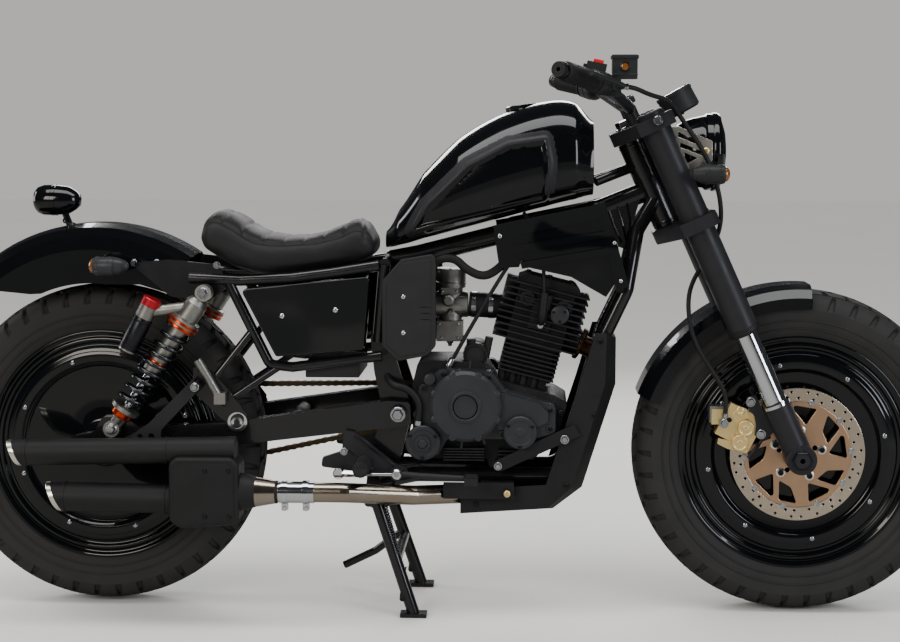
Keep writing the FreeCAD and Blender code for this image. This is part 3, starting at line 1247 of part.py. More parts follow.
def caliperBlock(out1, out2, long1, long2, y1, y2):
    """A block of the caliper, by distance from the axle and length along the disc's edge."""
    places = []
    for out, long in ((out1, long1), (out2, long1), (out2, long2), (out1, long2)):
        spot = frontAxle - toAxle * out + caliperAxis * long
        places.append(Vector(spot.x, y1, spot.z))
    return Part.Face(Part.makePolygon(places + places[:1])).extrude(Vector(0, y2 - y1, 0))


discOuterFace = -float(dim.discPlace + discHalf)
discInnerFace = -float(dim.discPlace - discHalf)
rimEdge = float(dim.discRadius)
caliper = caliperBlock(92, 166, -34, 34, discOuterFace - 24, discOuterFace - 2.5)
caliper = caliper.fuse(caliperBlock(96, 160, -30, 30, discInnerFace + 2.5, discInnerFace + 14))
caliper = caliper.fuse(caliperBlock(rimEdge + 6, 160, -24, 24, discOuterFace - 6, discInnerFace + 8))
caliperFace = discOuterFace - 24
# x and z from the front axle, radius and thickness of the piston lobes and the upper cylinder
for x, z, radius, deep in ((-104.8, 55.7, 15, 8), (-115.8, 26.7, 15, 8), (-115.8, 88.7, 8, 4)):
    lobeFoot = Vector(frontAxle.x + x, caliperFace, frontAxle.z + z)
    caliper = caliper.fuse(Part.makeCylinder(radius, deep, lobeFoot, Vector(0, -1, 0)))
inletCorner = Vector(frontAxle.x - 169.8, caliperFace + 3, frontAxle.z + 61.7)
caliper = caliper.fuse(Part.makeBox(28, 14, 30, inletCorner))
keep(shaped("caliperBody", caliper.removeSplitter()), "brake_caliper")
# ahead, across and up from the top of the steering axis
hoseRun = ((58, -186, 42), (90, -140, 18), (100, -106, -20), (119, -103, -124), (101, -101, -230),
           (48, -66, -290), (-6, -76, -322), (-34, -88, -365), (-49, -92, -433), (-34, -99, -520),
           (-34, caliperFace - dim.hoseRadius - seatGap, -558),
           (-56, caliperFace - dim.hoseRadius - seatGap, -592))
perchFront = reservoirMiddle + Vector(20 + seatGap, 0, 2)
hosePoints = [perchFront, perchFront + Vector(22, 0, 0)] + [onFork(*point) for point in hoseRun]
keep(shaped("frontBrakeHose", bentTube(hosePoints, float(dim.hoseRadius))), "brake_hose")
lugPlace = onFork(dim.forkOffset, 0, -stanchionEnd - 22)
lugFace = discOuterFace - 24
# the bracket's corners, x and z from its root on the fork leg
lugCorners = ((-10, -30), (-12, -8), (-34, 6), (-49, 38), (-66, 34), (-66, 17), (-51, -3), (-47, -23),
              (-49, -41), (-37, -51), (-25, -47))
lugEdge = [Vector(lugPlace.x + x, lugFace, lugPlace.z + z) for x, z in lugCorners]
lugShape = Part.Face(Part.makePolygon(lugEdge + lugEdge[:1])).extrude(Vector(0, -7, 0))
lowers[0] = joinedPieces("lowerWithLug", [lowers[0], shaped("caliperLug", lugShape)])
keep(sideBySide("lowerPair", lowers), "fork_lowers")

# Centre stand

standPivot = Vector(dim.standPivotX, 0, dim.standPivotZ)
groundFoot = float(groundZ)
standPieces = [rod("standAxle", standPivot - Vector(0, 104, 0), standPivot + Vector(0, 104, 0),
                   dim.axleRadius)]
for label, side in sides:
    hip = Vector(standPivot.x, side * 106, standPivot.z)
    knee = Vector(-62, side * 120, groundFoot + 6)
    standPieces.append(rod("standLeg" + label, hip, knee, dim.standTube))
    standPieces.append(rod("standHip" + label, hip - Vector(0, side * 11, 0),
                           hip + Vector(0, side * 10, 0), 17))
    foot = block("standFoot" + label, (-88, side * 120 - 16, groundFoot),
                 (-36, side * 120 + 16, groundFoot + dim.footThickness))
    standPieces.append(foot)
legRise = standPivot.z - groundFoot
braceHeight = groundFoot + legRise * 0.477
standPieces.append(rod("standBrace", (-96, -114, braceHeight), (-96, 114, braceHeight), 10))
tangRun = [Vector(-100, 114, groundFoot + legRise * 0.51), Vector(-160, 134, groundFoot + legRise * 0.303),
           Vector(-226, 142, groundFoot + legRise * 0.156)]
standPieces.append(shaped("standTang", bentTube(tangRun, 8, 16)))
keep(joinedPieces("standPieces", standPieces), "centre_stand")

# Check every object, move the motorcycle onto the ground and write the sub-parts

doc.recompute()
for item in doc.Objects:
    if "Invalid" in item.State or "Error" in item.State:
        raise RuntimeError("%s did not build: %s" % (item.Name, item.State))
os.makedirs("parts", exist_ok=True)
for node in nodes:
    if node.Shape.isNull() or not node.Shape.isValid():
        raise RuntimeError("%s has no sound shape" % node.Label)
    placed = node.Shape.copy()
    placed.translate(shift)
    placed.exportStep("parts/%s.step" % node.Label)
print(len(nodes), "sub-parts written")
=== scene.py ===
import json
import random
from math import acos, atan2, copysign, cos, dist, exp, hypot, pi, radians, sin

import bmesh
import bpy
from mathutils import Matrix, Vector
from mathutils.bvhtree import BVHTree


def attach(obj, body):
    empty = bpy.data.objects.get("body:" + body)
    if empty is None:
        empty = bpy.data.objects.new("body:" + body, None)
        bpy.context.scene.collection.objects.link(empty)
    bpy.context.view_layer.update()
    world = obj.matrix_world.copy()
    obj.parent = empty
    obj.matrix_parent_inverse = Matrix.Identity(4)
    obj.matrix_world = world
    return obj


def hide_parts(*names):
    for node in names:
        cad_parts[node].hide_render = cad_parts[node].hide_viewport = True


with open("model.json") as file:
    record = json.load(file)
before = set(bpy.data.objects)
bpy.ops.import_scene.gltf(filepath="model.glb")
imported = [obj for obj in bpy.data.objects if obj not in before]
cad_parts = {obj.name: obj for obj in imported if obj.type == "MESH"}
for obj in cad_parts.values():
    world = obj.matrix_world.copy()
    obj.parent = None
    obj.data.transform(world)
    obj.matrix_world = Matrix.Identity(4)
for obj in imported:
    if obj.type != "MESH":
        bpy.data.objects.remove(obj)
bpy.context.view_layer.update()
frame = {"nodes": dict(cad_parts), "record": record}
random.seed(7)
print("frame loaded:", len(frame["nodes"]), "nodes")


# Colours, nodes and finishes


def linearColour(code):
    # sRGB hex to the linear red, green, blue and alpha that shaders take
    parts = [int(code[start:start + 2], 16) / 255 for start in (1, 3, 5)]
    return [part / 12.92 if part <= 0.04045 else ((part + 0.055) / 1.055) ** 2.4 for part in parts] + [1]


def addNode(tree, kind, settings=None, links=None):
    # one node: settings go to its sockets or its properties, links come from other nodes' outputs
    node = tree.nodes.new(kind)
    for key, value in (settings or {}).items():
        if isinstance(key, int) or key in node.inputs:
            node.inputs[key].default_value = value
        else:
            setattr(node, key, value)
    for key, output in (links or {}).items():
        tree.links.new(output, node.inputs[key])
    return node


finishes = {
    # colour, second colour, size of its spots, least and most roughness, size and depth of its grain,
    # all sizes in millimetres, and what else sets it apart; a grain that is finer in the real one
    # is drawn this coarse so that it shows
    # two-part black lacquer sprayed and polished: deep black with a mirror coat and a faint orange peel
    "polishedLacquer": ("#050608", "#07080a", 60, (0.12, 0.16), 4, 0.012,
                        {"coat": 0.55, "coatRoughness": 0.02, "specular": 0.1}),
    # the same lacquer on hand-beaten sheet: slow waves that bend what it mirrors
    "wavedLacquer": ("#050608", "#07080a", 60, (0.03, 0.05), 105, 4.0, {"specular": 0.45, "detail": 0}),
    # powder baked on steel tube: gloss black with a slightly wavy skin
    "powderCoatedSteel": ("#0b0b0d", "#111114", 40, (0.22, 0.30), 2.5, 0.02,
                          {"coat": 0.6, "coatRoughness": 0.08}),
    # satin powder on alloy: soft grey-black sheen, no mirror
    "satinPowderAlloy": ("#1b1b1e", "#212124", 30, (0.36, 0.46), 1.6, 0.025, {}),
    # matt heat paint on sheet steel: dusty black that greys where it is rubbed
    "heatPaintedSheet": ("#131314", "#1c1c1d", 45, (0.48, 0.62), 1.2, 0.03, {}),
    # sand-cast aluminium painted black: sandy grain with soft grey dust in it
    "sandCastPainted": ("#121213", "#222224", 18, (0.40, 0.58), 1.5, 0.06, {"grain": "pebble"}),
    # die-cast cover under satin paint: smoother and a step lighter than the case
    "dieCastPainted": ("#222326", "#2a2b2e", 35, (0.30, 0.40), 1.4, 0.03, {}),
    # die-cast aluminium left bare: pale grey, dull, a little stained
    "dieCastAluminium": ("#a3a3a0", "#77766f", 14, (0.32, 0.52), 1.2, 0.05,
                         {"metallic": 1.0, "grain": "pebble"}),
    # bonded nylon thread on the seat: charcoal, a shade paler than the leather
    "waxedThread": ("#3a3836", "#2e2c2b", 6, (0.5, 0.6), 1, 0.02, {}),
    # hard chrome ground and polished: a mirror with long faint wipe marks
    "hardChrome": ("#d3d5d9", "#c9cbcf", 80, (0.06, 0.12), 6, 0.004, {"metallic": 1.0}),
    # zinc-plated steel screws: bright, slightly cool, softly scratched
    "zincPlatedSteel": ("#b9bcc0", "#9a9da2", 6, (0.16, 0.28), 1, 0.01, {"metallic": 1.0}),
    # black-oxide steel screws: dark grey metal with an oily sheen
    "blackOxideSteel": ("#2b2c2f", "#3a3b3f", 8, (0.30, 0.42), 1, 0.01, {"metallic": 1.0}),
    # ground stainless brake disc: fine rings from the pads, about the front axle, whose place is taken off
    "groundStainless": ("#d0c3b2", "#b9aa96", 30, (0.22, 0.34), 1.4, 0.02,
                        {"metallic": 1.0, "grain": "rings", "centre": (-0.68675, 0, -0.32)}),
    # bead-blasted and gold-anodised aluminium: warm, even, fine frosted grain
    "goldAnodised": ("#cda98a", "#bb977a", 30, (0.30, 0.40), 1, 0.015, {"metallic": 1.0}),
    # yellower gold anodising on the caliper casting
    "brightGoldAnodised": ("#efd79c", "#dcbf80", 20, (0.26, 0.38), 1.2, 0.03,
                           {"metallic": 0.85, "grain": "pebble"}),
    # polished stainless tube: bright, with straw-coloured heat bands
    "heatTintedStainless": ("#a8a49c", "#8d7a5f", 70, (0.14, 0.26), 2, 0.01, {"metallic": 1.0}),
    # mild steel header browned by heat: dull bronze and soot
    "scorchedSteel": ("#5b4436", "#33271f", 25, (0.36, 0.55), 2, 0.03, {"metallic": 1.0}),
    # brushed and lacquered aluminium bracket: fine straight lines
    "brushedAluminium": ("#e9e5da", "#d6d2c6", 30, (0.24, 0.34), 0.9, 0.02,
                         {"metallic": 1.0, "grain": "brushed"}),
    # moulded synthetic rubber tyre: charcoal, matt, dusty in the hollows
    "mouldedTyreRubber": ("#1b1b1c", "#2a2928", 50, (0.62, 0.80), 1.6, 0.06, {"ior": 1.52}),
    # extruded rubber hose and moulded grips: even black with a dull shine
    "mouldedRubber": ("#121213", "#1a1a1b", 20, (0.45, 0.60), 1.2, 0.03, {"ior": 1.52}),
    # injection-moulded plastic with an etched leather-like tool texture
    "mouldedPlastic": ("#1a1b1c", "#202122", 40, (0.42, 0.52), 1.1, 0.04, {"ior": 1.53, "grain": "pebble"}),
    # waxed dark leather over foam: pebbled skin, paler where the creases are rubbed
    "waxedLeather": ("#0f0f10", "#161517", 35, (0.52, 0.64), 2.2, 0.10,
                     {"grain": "leather", "ior": 1.5, "specular": 0.25}),
    # red and orange anodised aluminium on the shock absorbers: coloured metal with a clean sheen
    "orangeAnodised": ("#d1471f", "#b63a18", 15, (0.26, 0.36), 1, 0.01, {"metallic": 1.0}),
    "redAnodised": ("#a81523", "#8e101c", 15, (0.26, 0.36), 1, 0.01, {"metallic": 0.6}),
    # oiled roller chain: brassy grey steel, dirty between the plates
    "oiledChainSteel": ("#6f604a", "#2c251d", 7, (0.30, 0.50), 1, 0.02, {"metallic": 1.0}),
    # drawn spring wire, painted and rubbed bright
    "drawnSpringWire": ("#55575b", "#35373a", 10, (0.22, 0.34), 1.2, 0.02, {"metallic": 1.0}),
    # red switch cap, moulded and glossy
    "redSwitchPlastic": ("#c0101c", "#a50d18", 8, (0.25, 0.35), 1, 0.01, {"ior": 1.53}),
    # smoked lens with an amber tone
    "smokedAmberLens": ("#5a3310", "#6b3f14", 12, (0.08, 0.12), 2, 0.01,
                        {"ior": 1.59, "coat": 1.0, "coatRoughness": 0.03}),
    # dark red acrylic over the tail lamp
    "smokedRedLens": ("#3d0508", "#4c080b", 12, (0.08, 0.12), 2, 0.01,
                      {"ior": 1.49, "coat": 1.0, "coatRoughness": 0.03}),
    # vacuum-metallised reflector bowl
    "metallisedReflector": ("#dfe2e6", "#ced2d6", 20, (0.05, 0.10), 5, 0.01, {"metallic": 1.0}),
    # screen-printed dial: flat dark grey
    "printedDial": ("#101214", "#15171a", 10, (0.55, 0.62), 1, 0.005, {}),
    # white printing on the dial
    "whitePrint": ("#e8e8e4", "#dcdcd6", 4, (0.5, 0.6), 1, 0.004, {}),
    # sealed concrete-pale floor for the studio
    "sealedFloor": ("#d6d5d2", "#cfcecb", 900, (0.5, 0.6), 3, 0.02, {"specular": 0.08}),
}


def newMaterial(name):
    material = bpy.data.materials.new(name)
    material.use_nodes = True
    material.node_tree.nodes.clear()
    place = addNode(material.node_tree, "ShaderNodeTexCoord").outputs["Object"]
    return material, material.node_tree, place


def makeFinish(name, colour, second, spotMm, roughness, grainMm, depthMm, more):
    material, tree, place = newMaterial(name)
    # broad change of tone over the surface
    spots = addNode(tree, "ShaderNodeTexNoise", {"Scale": 1000 / spotMm, "Detail": 5, "Roughness": 0.6},
                    {"Vector": place})
    tone = addNode(tree, "ShaderNodeMix",
                   {"data_type": "RGBA", 6: linearColour(colour), 7: linearColour(second)},
                   {0: spots.outputs["Fac"]})
    shine = addNode(tree, "ShaderNodeMapRange",
                    {"To Min": roughness[0], "To Max": roughness[1], "From Min": 0.3, "From Max": 0.7},
                    {"Value": spots.outputs["Fac"]})
    # the small relief that the making leaves
    scale, grain = 1000 / grainMm, more.get("grain", "noise")
    if grain == "pebble":
        cells = addNode(tree, "ShaderNodeTexVoronoi",
                        {"feature": "SMOOTH_F1", "Scale": scale, "Smoothness": 0.6}, {"Vector": place})
        height = cells.outputs["Distance"]
    elif grain == "leather":
        cells = addNode(tree, "ShaderNodeTexVoronoi", {"feature": "DISTANCE_TO_EDGE", "Scale": scale},
                        {"Vector": place})
        crease = addNode(tree, "ShaderNodeTexNoise", {"Scale": scale / 9, "Detail": 4}, {"Vector": place})
        rise = addNode(tree, "ShaderNodeMapRange", {"From Max": 0.16}, {"Value": cells.outputs["Distance"]})
        height = addNode(tree, "ShaderNodeMath", {"operation": "MULTIPLY"},
                         {0: rise.outputs["Result"], 1: crease.outputs["Fac"]}).outputs["Value"]
    elif grain == "rings":
        centred = addNode(tree, "ShaderNodeMapping", {"Location": more["centre"]}, {"Vector": place})
        rings = addNode(tree, "ShaderNodeTexWave",
                        {"wave_type": "RINGS", "rings_direction": "Y", "Scale": scale / (2 * pi),
                         "Distortion": 0.5, "Detail": 2}, {"Vector": centred.outputs["Vector"]})
        height = rings.outputs["Fac"]
    elif grain == "brushed":
        stretched = addNode(tree, "ShaderNodeMapping", {"Scale": (0.03, 1, 1)}, {"Vector": place})
        lines = addNode(tree, "ShaderNodeTexNoise", {"Scale": scale, "Detail": 3},
                        {"Vector": stretched.outputs["Vector"]})
        height = lines.outputs["Fac"]
    else:
        specks = addNode(tree, "ShaderNodeTexNoise",
                         {"Scale": scale, "Detail": more.get("detail", 3), "Roughness": 0.55},
                         {"Vector": place})
        height = specks.outputs["Fac"]
    relief = addNode(tree, "ShaderNodeBump", {"Strength": 1.0, "Distance": depthMm / 1000},
                     {"Height": height})
    shader = addNode(tree, "ShaderNodeBsdfPrincipled",
                     {"Metallic": more.get("metallic", 0.0), "Coat Weight": more.get("coat", 0.0),
                      "Coat Roughness": more.get("coatRoughness", 0.03)},
                     {"Base Color": tone.outputs[2], "Roughness": shine.outputs["Result"],
                      "Normal": relief.outputs["Normal"]})
    if not more.get("metallic"):
        shader.inputs["IOR"].default_value = more.get("ior", 1.5)
        shader.inputs["Specular IOR Level"].default_value = more.get("specular", 0.2)
    addNode(tree, "ShaderNodeOutputMaterial", None, {"Surface": shader.outputs["BSDF"]})
    return material


surfaces = {name: makeFinish(name, *look) for name, look in finishes.items()}

# clear polycarbonate lens: see-through, with faint moulded ripples
lensGlass, lensTree, lensPlace = newMaterial("clearPolycarbonate")
lensWaves = addNode(lensTree, "ShaderNodeTexNoise", {"Scale": 120, "Detail": 2}, {"Vector": lensPlace})
lensRelief = addNode(lensTree, "ShaderNodeBump", {"Strength": 1.0, "Distance": 0.00004},
                     {"Height": lensWaves.outputs["Fac"]})
lensShader = addNode(lensTree, "ShaderNodeBsdfPrincipled", {
    "Base Color": linearColour("#f4f6f8"), "IOR": 1.586, "Roughness": 0.03, "Transmission Weight": 1.0},
    {"Normal": lensRelief.outputs["Normal"]})
addNode(lensTree, "ShaderNodeOutputMaterial", None, {"Surface": lensShader.outputs["BSDF"]})
surfaces["clearPolycarbonate"] = lensGlass
print("finishes made:", len(surfaces))


# Shapes as (points, faces), in metres


def mm(x, y, z):
    return Vector((x, y, z)) / 1000


# how far the frame's drawing stands off this world, in millimetres
drawing = {"ahead": 0.05, "up": 0.28}


def cad(x, y, z):
    # a point given in the drawing's numbers
    return Vector((x - drawing["ahead"], y, z - drawing["up"])) / 1000


steering = {"rake": radians(24.3), "top": cad(348, 0, 954)}
forkUp = Vector((-sin(steering["rake"]), 0, cos(steering["rake"])))
forkAhead = Vector((cos(steering["rake"]), 0, sin(steering["rake"])))


def onFork(ahead, across, up):
    # millimetres ahead of, across and up from the top of the steering axis
    return steering["top"] + (forkAhead * ahead + forkUp * up) / 1000 + Vector((0, across / 1000, 0))


frontHub = onFork(48, 0, -717)
rearHub = cad(-686.7, 0, 325)
sides = (-1, 1)  # right and left


def newObject(name, data):
    thing = bpy.data.objects.new(name, data)
    bpy.context.scene.collection.objects.link(thing)
    return thing


def settledMesh(holder):
    # the mesh with its modifiers applied
    return bpy.data.meshes.new_from_object(holder.evaluated_get(bpy.context.evaluated_depsgraph_get()))


def shapeOf(mesh):
    return [vertex.co.copy() for vertex in mesh.vertices], [tuple(face.vertices) for face in mesh.polygons]


def together(shapes):
    points, faces = [], []
    for shapePoints, shapeFaces in shapes:
        start = len(points)
        points += [Vector(point) for point in shapePoints]
        faces += [tuple(index + start for index in face) for face in shapeFaces]
    return points, faces


def placed(shape, matrix):
    return [matrix @ Vector(point) for point in shape[0]], shape[1]


def standing(place, direction):
    # stands a shape's Z axis along a direction
    turn = Vector(direction).to_track_quat("Z", "Y").to_matrix().to_4x4()
    return Matrix.Translation(place) @ turn


def wallFaces(rows, count, ring=False):
    # the faces between rows of points that each go once round; a ring joins its last row to its first
    faces = []
    for row in range(rows if ring else rows - 1):
        start, after = row * count, (row + 1) % rows * count
        for step in range(count):
            beside = (step + 1) % count
            faces.append((start + step, start + beside, after + beside, after + step))
    return faces


def endFaces(rows, count):
    return [tuple(reversed(range(count))), tuple(range((rows - 1) * count, rows * count))]


def lathed(profile, count=48, ring=False):
    # (radius, height) pairs in millimetres turned about Z
    points = []
    for radius, height in profile:
        for step in range(count):
            turn = 2 * pi * step / count
            points.append(mm(radius * cos(turn), radius * sin(turn), height))
    rows = len(profile)
    return points, wallFaces(rows, count, ring) + ([] if ring else endFaces(rows, count))


def turned(profile, stand, count=48, ring=False):
    # a lathed form on its stand
    return placed(lathed(profile, count, ring), stand)


def prism(outline, low, high):
    # a flat outline of (x, y) pairs in millimetres, pushed from low to high along Z
    count = len(outline)
    points = [mm(x, y, low) for x, y in outline] + [mm(x, y, high) for x, y in outline]
    faces = [tuple(reversed(range(count))), tuple(range(count, 2 * count))]
    for index in range(count):
        after = (index + 1) % count
        faces.append((index, after, after + count, index + count))
    return points, faces


def plate(outline, low, high):
    # the same for an outline of (x, z) pairs, pushed across the motorcycle in Y
    return placed(prism([(x, -z) for x, z in outline], low, high), Matrix.Rotation(radians(-90), 4, "X"))


def cadPlate(outline, low, high):
    # the same with the outline in the drawing's numbers
    return plate([(x - drawing["ahead"], z - drawing["up"]) for x, z in outline], low, high)


def circle(radius, count, centre=(0, 0)):
    return [(centre[0] + radius * cos(2 * pi * step / count),
             centre[1] + radius * sin(2 * pi * step / count)) for step in range(count)]


def drilledSheet(outlines, half, edge):
    # a flat sheet from closed outlines in millimetres, the first its rim and the rest its holes,
    # with a broken edge; it faces along Y
    flat = bpy.data.curves.new("flatSheet", "CURVE")
    flat.dimensions, flat.fill_mode = "2D", "BOTH"
    flat.extrude, flat.bevel_depth, flat.bevel_resolution = (half - edge) / 1000, edge / 1000, 1
    flat.offset = -edge / 1000
    for outline in outlines:
        spline = flat.splines.new("POLY")
        spline.points.add(len(outline) - 1)
        for point, (x, y) in zip(spline.points, outline):
            point.co = (x / 1000, y / 1000, 0, 1)
        spline.use_cyclic_u = True
    holder = newObject("flatSheet", flat)
    mesh = settledMesh(holder)
    shape = shapeOf(mesh)
    bpy.data.objects.remove(holder)
    bpy.data.curves.remove(flat)
    bpy.data.meshes.remove(mesh)
    return placed(shape, Matrix.Rotation(radians(90), 4, "X"))


def across(place, side):
    # stands a shape's Z axis out to one side of the motorcycle
    return standing(place, (0, side, 0))


def brick(size, centre):
    points = [Vector((centre[0] + x * size[0] / 2, centre[1] + y * size[1] / 2,
                      centre[2] + z * size[2] / 2)) / 1000 for z in (-1, 1)
              for x, y in ((-1, -1), (1, -1), (1, 1), (-1, 1))]
    return points, [(3, 2, 1, 0), (4, 5, 6, 7), (0, 1, 5, 4), (1, 2, 6, 5), (2, 3, 7, 6), (3, 0, 4, 7)]


def rounded(points, radius, steps=6):
    # corners of a line of points in metres turned into arcs
    line = [Vector(points[0])]
    for before, corner, after in zip(points, points[1:], points[2:]):
        before, corner, after = Vector(before), Vector(corner), Vector(after)
        inward, outward = (before - corner), (after - corner)
        room = min(radius, inward.length * 0.45, outward.length * 0.45)
        start = corner + inward.normalized() * room
        end = corner + outward.normalized() * room
        for step in range(steps + 1):
            share = step / steps
            line.append(start.lerp(corner, share).lerp(corner.lerp(end, share), share))
    line.append(Vector(points[-1]))
    return line


def swept(line, radius, count=16):
    # a round bar along a line of points in metres; its radius is in millimetres
    points, side = [], None
    for index, place in enumerate(line):
        ahead = (line[min(index + 1, len(line) - 1)] - line[max(index - 1, 0)]).normalized()
        if side is None:
            side = ahead.orthogonal().normalized()
        side = (side - ahead * side.dot(ahead)).normalized()
        other = ahead.cross(side)
        for step in range(count):
            turn = 2 * pi * step / count
            points.append(place + (side * cos(turn) + other * sin(turn)) * radius / 1000)
    return points, wallFaces(len(line), count) + endFaces(len(line), count)


# edges sharper than this are rounded, and faces flatter than this are joined
meshing = {"sharpDegrees": 32, "flatDegrees": 1, "sameMm": 0.001}


def softEdges(mesh, angle):
    # faces shade smooth, and edges sharper than the angle stay crisp
    shell = bmesh.new()
    shell.from_mesh(mesh)
    bmesh.ops.recalc_face_normals(shell, faces=shell.faces)
    for face in shell.faces:
        face.smooth = True
    for edge in shell.edges:
        edge.smooth = len(edge.link_faces) == 2 and edge.calc_face_angle(0) < radians(angle)
    shell.to_mesh(mesh)
    shell.free()


def roundCorners(piece, width):
    bevel = piece.modifiers.new("roundedEdges", "BEVEL")
    bevel.width = width / 1000
    bevel.segments = 2
    bevel.limit_method = "ANGLE"
    bevel.angle_limit = radians(meshing["sharpDegrees"])
    bevel.harden_normals = True
    bevel.use_clamp_overlap = True


def addPiece(name, shape, finish, body, angle=35, edge=0.0, instead=()):
    # one shape or a list of shapes as one piece; edge is its rounding in millimetres
    shape = together(shape) if isinstance(shape, list) else shape
    mesh = bpy.data.meshes.new(name)
    mesh.from_pydata([tuple(point) for point in shape[0]], [], shape[1])
    mesh.validate()
    mesh.materials.append(surfaces[finish])
    softEdges(mesh, angle)
    piece = newObject(name, mesh)
    if edge:
        roundCorners(piece, edge)
    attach(piece, body)
    if instead:
        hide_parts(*instead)
    return piece


def softenedNode(node, finish, edge):
    # the CAD node's own form with rounded edges, standing for it
    source = frame["nodes"][node]
    mesh = source.data.copy()
    shell = bmesh.new()
    shell.from_mesh(mesh)
    bmesh.ops.remove_doubles(shell, verts=shell.verts, dist=meshing["sameMm"] / 1000)
    bmesh.ops.dissolve_limit(shell, angle_limit=radians(meshing["flatDegrees"]), verts=shell.verts,
                             edges=shell.edges)
    shell.to_mesh(mesh)
    shell.free()
    mesh.materials.clear()
    mesh.materials.append(surfaces[finish])
    softEdges(mesh, meshing["sharpDegrees"])
    piece = newObject(node + "_form", mesh)
    roundCorners(piece, edge)
    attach(piece, bodyOf[node])
    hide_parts(node)
    return piece


bodyOf = {node: body for body, nodes in frame["record"]["behaviour"]["bodies"].items() for node in nodes}

# Fasteners, drawn with the head up Z and the seat at zero


def capScrew(radius):
    # socket head: a cylinder with a broken edge and a six-sided hole
    return lathed(((radius, 0), (radius, radius * 0.9), (radius * 0.86, radius * 1.05),
                   (radius * 0.6, radius * 1.05), (radius * 0.52, radius * 0.5), (0.01, radius * 0.5)), 18)


def hexScrew(radius):
    # a washer and a six-sided head with a chamfer
    washer = lathed(((radius * 1.35, 0), (radius * 1.35, radius * 0.14), (radius * 1.28, radius * 0.2),
                     (0.01, radius * 0.2)), 20)
    head = lathed(((radius, radius * 0.2), (radius, radius * 0.78), (radius * 0.84, radius * 0.95),
                   (0.01, radius * 0.95)), 6)
    return together((washer, head))


def domeScrew(radius):
    # button head with a small socket
    steps = [(radius * cos(t), radius * 0.12 + radius * 0.5 * sin(t)) for t in (0, 0.3, 0.6, 0.9, 1.15)]
    return lathed([(radius, 0)] + steps
                  + [(radius * 0.34, radius * 0.56), (radius * 0.3, radius * 0.3), (0.01, radius * 0.3)], 18)


def addScrews(name, kind, rows, finish, body):
    # rows of (place, direction, radius)
    shapes = [placed(kind(radius), standing(place, direction)) for place, direction, radius in rows]
    return addPiece(name, shapes, finish, body, 40)


outRight = Vector((0, -1, 0))
outLeft = Vector((0, 1, 0))

# Camera and studio

cameraLook = {"place": (0.1769, -3.554, 0.9557), "downDegrees": 6.17, "turnDegrees": 2.791, "lensMm": 71.67}
camera = newObject("camera", bpy.data.cameras.new("camera"))
camera.location = cameraLook["place"]
camera.rotation_euler = (radians(90 - cameraLook["downDegrees"]), 0, radians(cameraLook["turnDegrees"]))
camera.data.lens = cameraLook["lensMm"]
camera.data.sensor_width = 36
bpy.context.scene.camera = camera

studio = {
    "floorSize": 40,
    # name, place, aimed at, width, height, power in watts, colour
    "lights": (
        ("softboxAbove", (0.0, -0.6, 2.9), (0, 0, 0.5), 3.4, 1.0, 70, "#ffffff"),
        ("softboxFront", (-1.9, -3.6, 2.0), (0, 0, 0.5), 1.5, 1.5, 70, "#fff8ee"),
        ("softboxNose", (3.2, -2.4, 1.5), (0.4, 0, 0.5), 1.0, 1.8, 60, "#f2f6ff"),
        ("stripBehind", (0.0, 2.8, 1.9), (0, 0, 0.6), 3.2, 0.7, 60, "#ffffff"),
        ("softboxTail", (-3.2, 0.8, 1.4), (-0.4, 0, 0.5), 0.8, 1.6, 35, "#ffffff"),
    ),
    # what the camera sees, what gloss mirrors and what lights: colour and strength
    "air": {"backdrop": ("#c9c8c4", 0.915), "reflected": ("#3d3e42", 0.8), "lighting": ("#d8d8d6", 1.35)},
    "mirroredFloor": "#989794",
}
floorMesh = bpy.data.meshes.new("floor")
reach = studio["floorSize"] / 2
floorMesh.from_pydata([(-reach, -reach, 0), (reach, -reach, 0), (reach, reach, 0), (-reach, reach, 0)],
                      [], [(0, 1, 2, 3)])
floorMesh.materials.append(surfaces["sealedFloor"])
newObject("floor", floorMesh)
# the floor mirrors darker in gloss than it looks, as black cloth laid before the object would make it
floorTree = surfaces["sealedFloor"].node_tree
floorEnd = next(node for node in floorTree.nodes if node.type == "OUTPUT_MATERIAL")
paleFloor = floorEnd.inputs["Surface"].links[0].from_socket
floorRays = addNode(floorTree, "ShaderNodeLightPath")
darkFloor = addNode(floorTree, "ShaderNodeBsdfDiffuse", {"Color": linearColour(studio["mirroredFloor"])})
floorMix = addNode(floorTree, "ShaderNodeMixShader", None,
                   {0: floorRays.outputs["Is Glossy Ray"], 1: paleFloor, 2: darkFloor.outputs[0]})
floorTree.links.new(floorMix.outputs[0], floorEnd.inputs["Surface"])
for name, place, target, width, height, power, colour in studio["lights"]:
    lamp = bpy.data.lights.new(name, "AREA")
    lamp.shape = "RECTANGLE"
    lamp.size, lamp.size_y = width, height
    lamp.energy = power
    lamp.color = linearColour(colour)[:3]
    light = newObject(name, lamp)
    light.location = place
    light.rotation_mode = "QUATERNION"
    light.rotation_quaternion = (Vector(target) - Vector(place)).to_track_quat("-Z", "Y")
world = bpy.data.worlds.new("studioAir")
bpy.context.scene.world = world
world.use_nodes = True
air = world.node_tree
air.nodes.clear()
rays = addNode(air, "ShaderNodeLightPath")
shades = {}
for name, (colour, strength) in studio["air"].items():
    shade = addNode(air, "ShaderNodeBackground", {"Color": linearColour(colour), "Strength": strength})
    shades[name] = shade.outputs[0]
spread = addNode(air, "ShaderNodeMixShader", None,
                 {0: rays.outputs["Is Diffuse Ray"], 1: shades["reflected"], 2: shades["lighting"]})
mixed = addNode(air, "ShaderNodeMixShader", None,
                {0: rays.outputs["Is Camera Ray"], 1: spread.outputs[0], 2: shades["backdrop"]})
addNode(air, "ShaderNodeOutputWorld", None, {"Surface": mixed.outputs[0]})
print("camera and studio set")

# Finishes for the CAD pieces that keep their own form

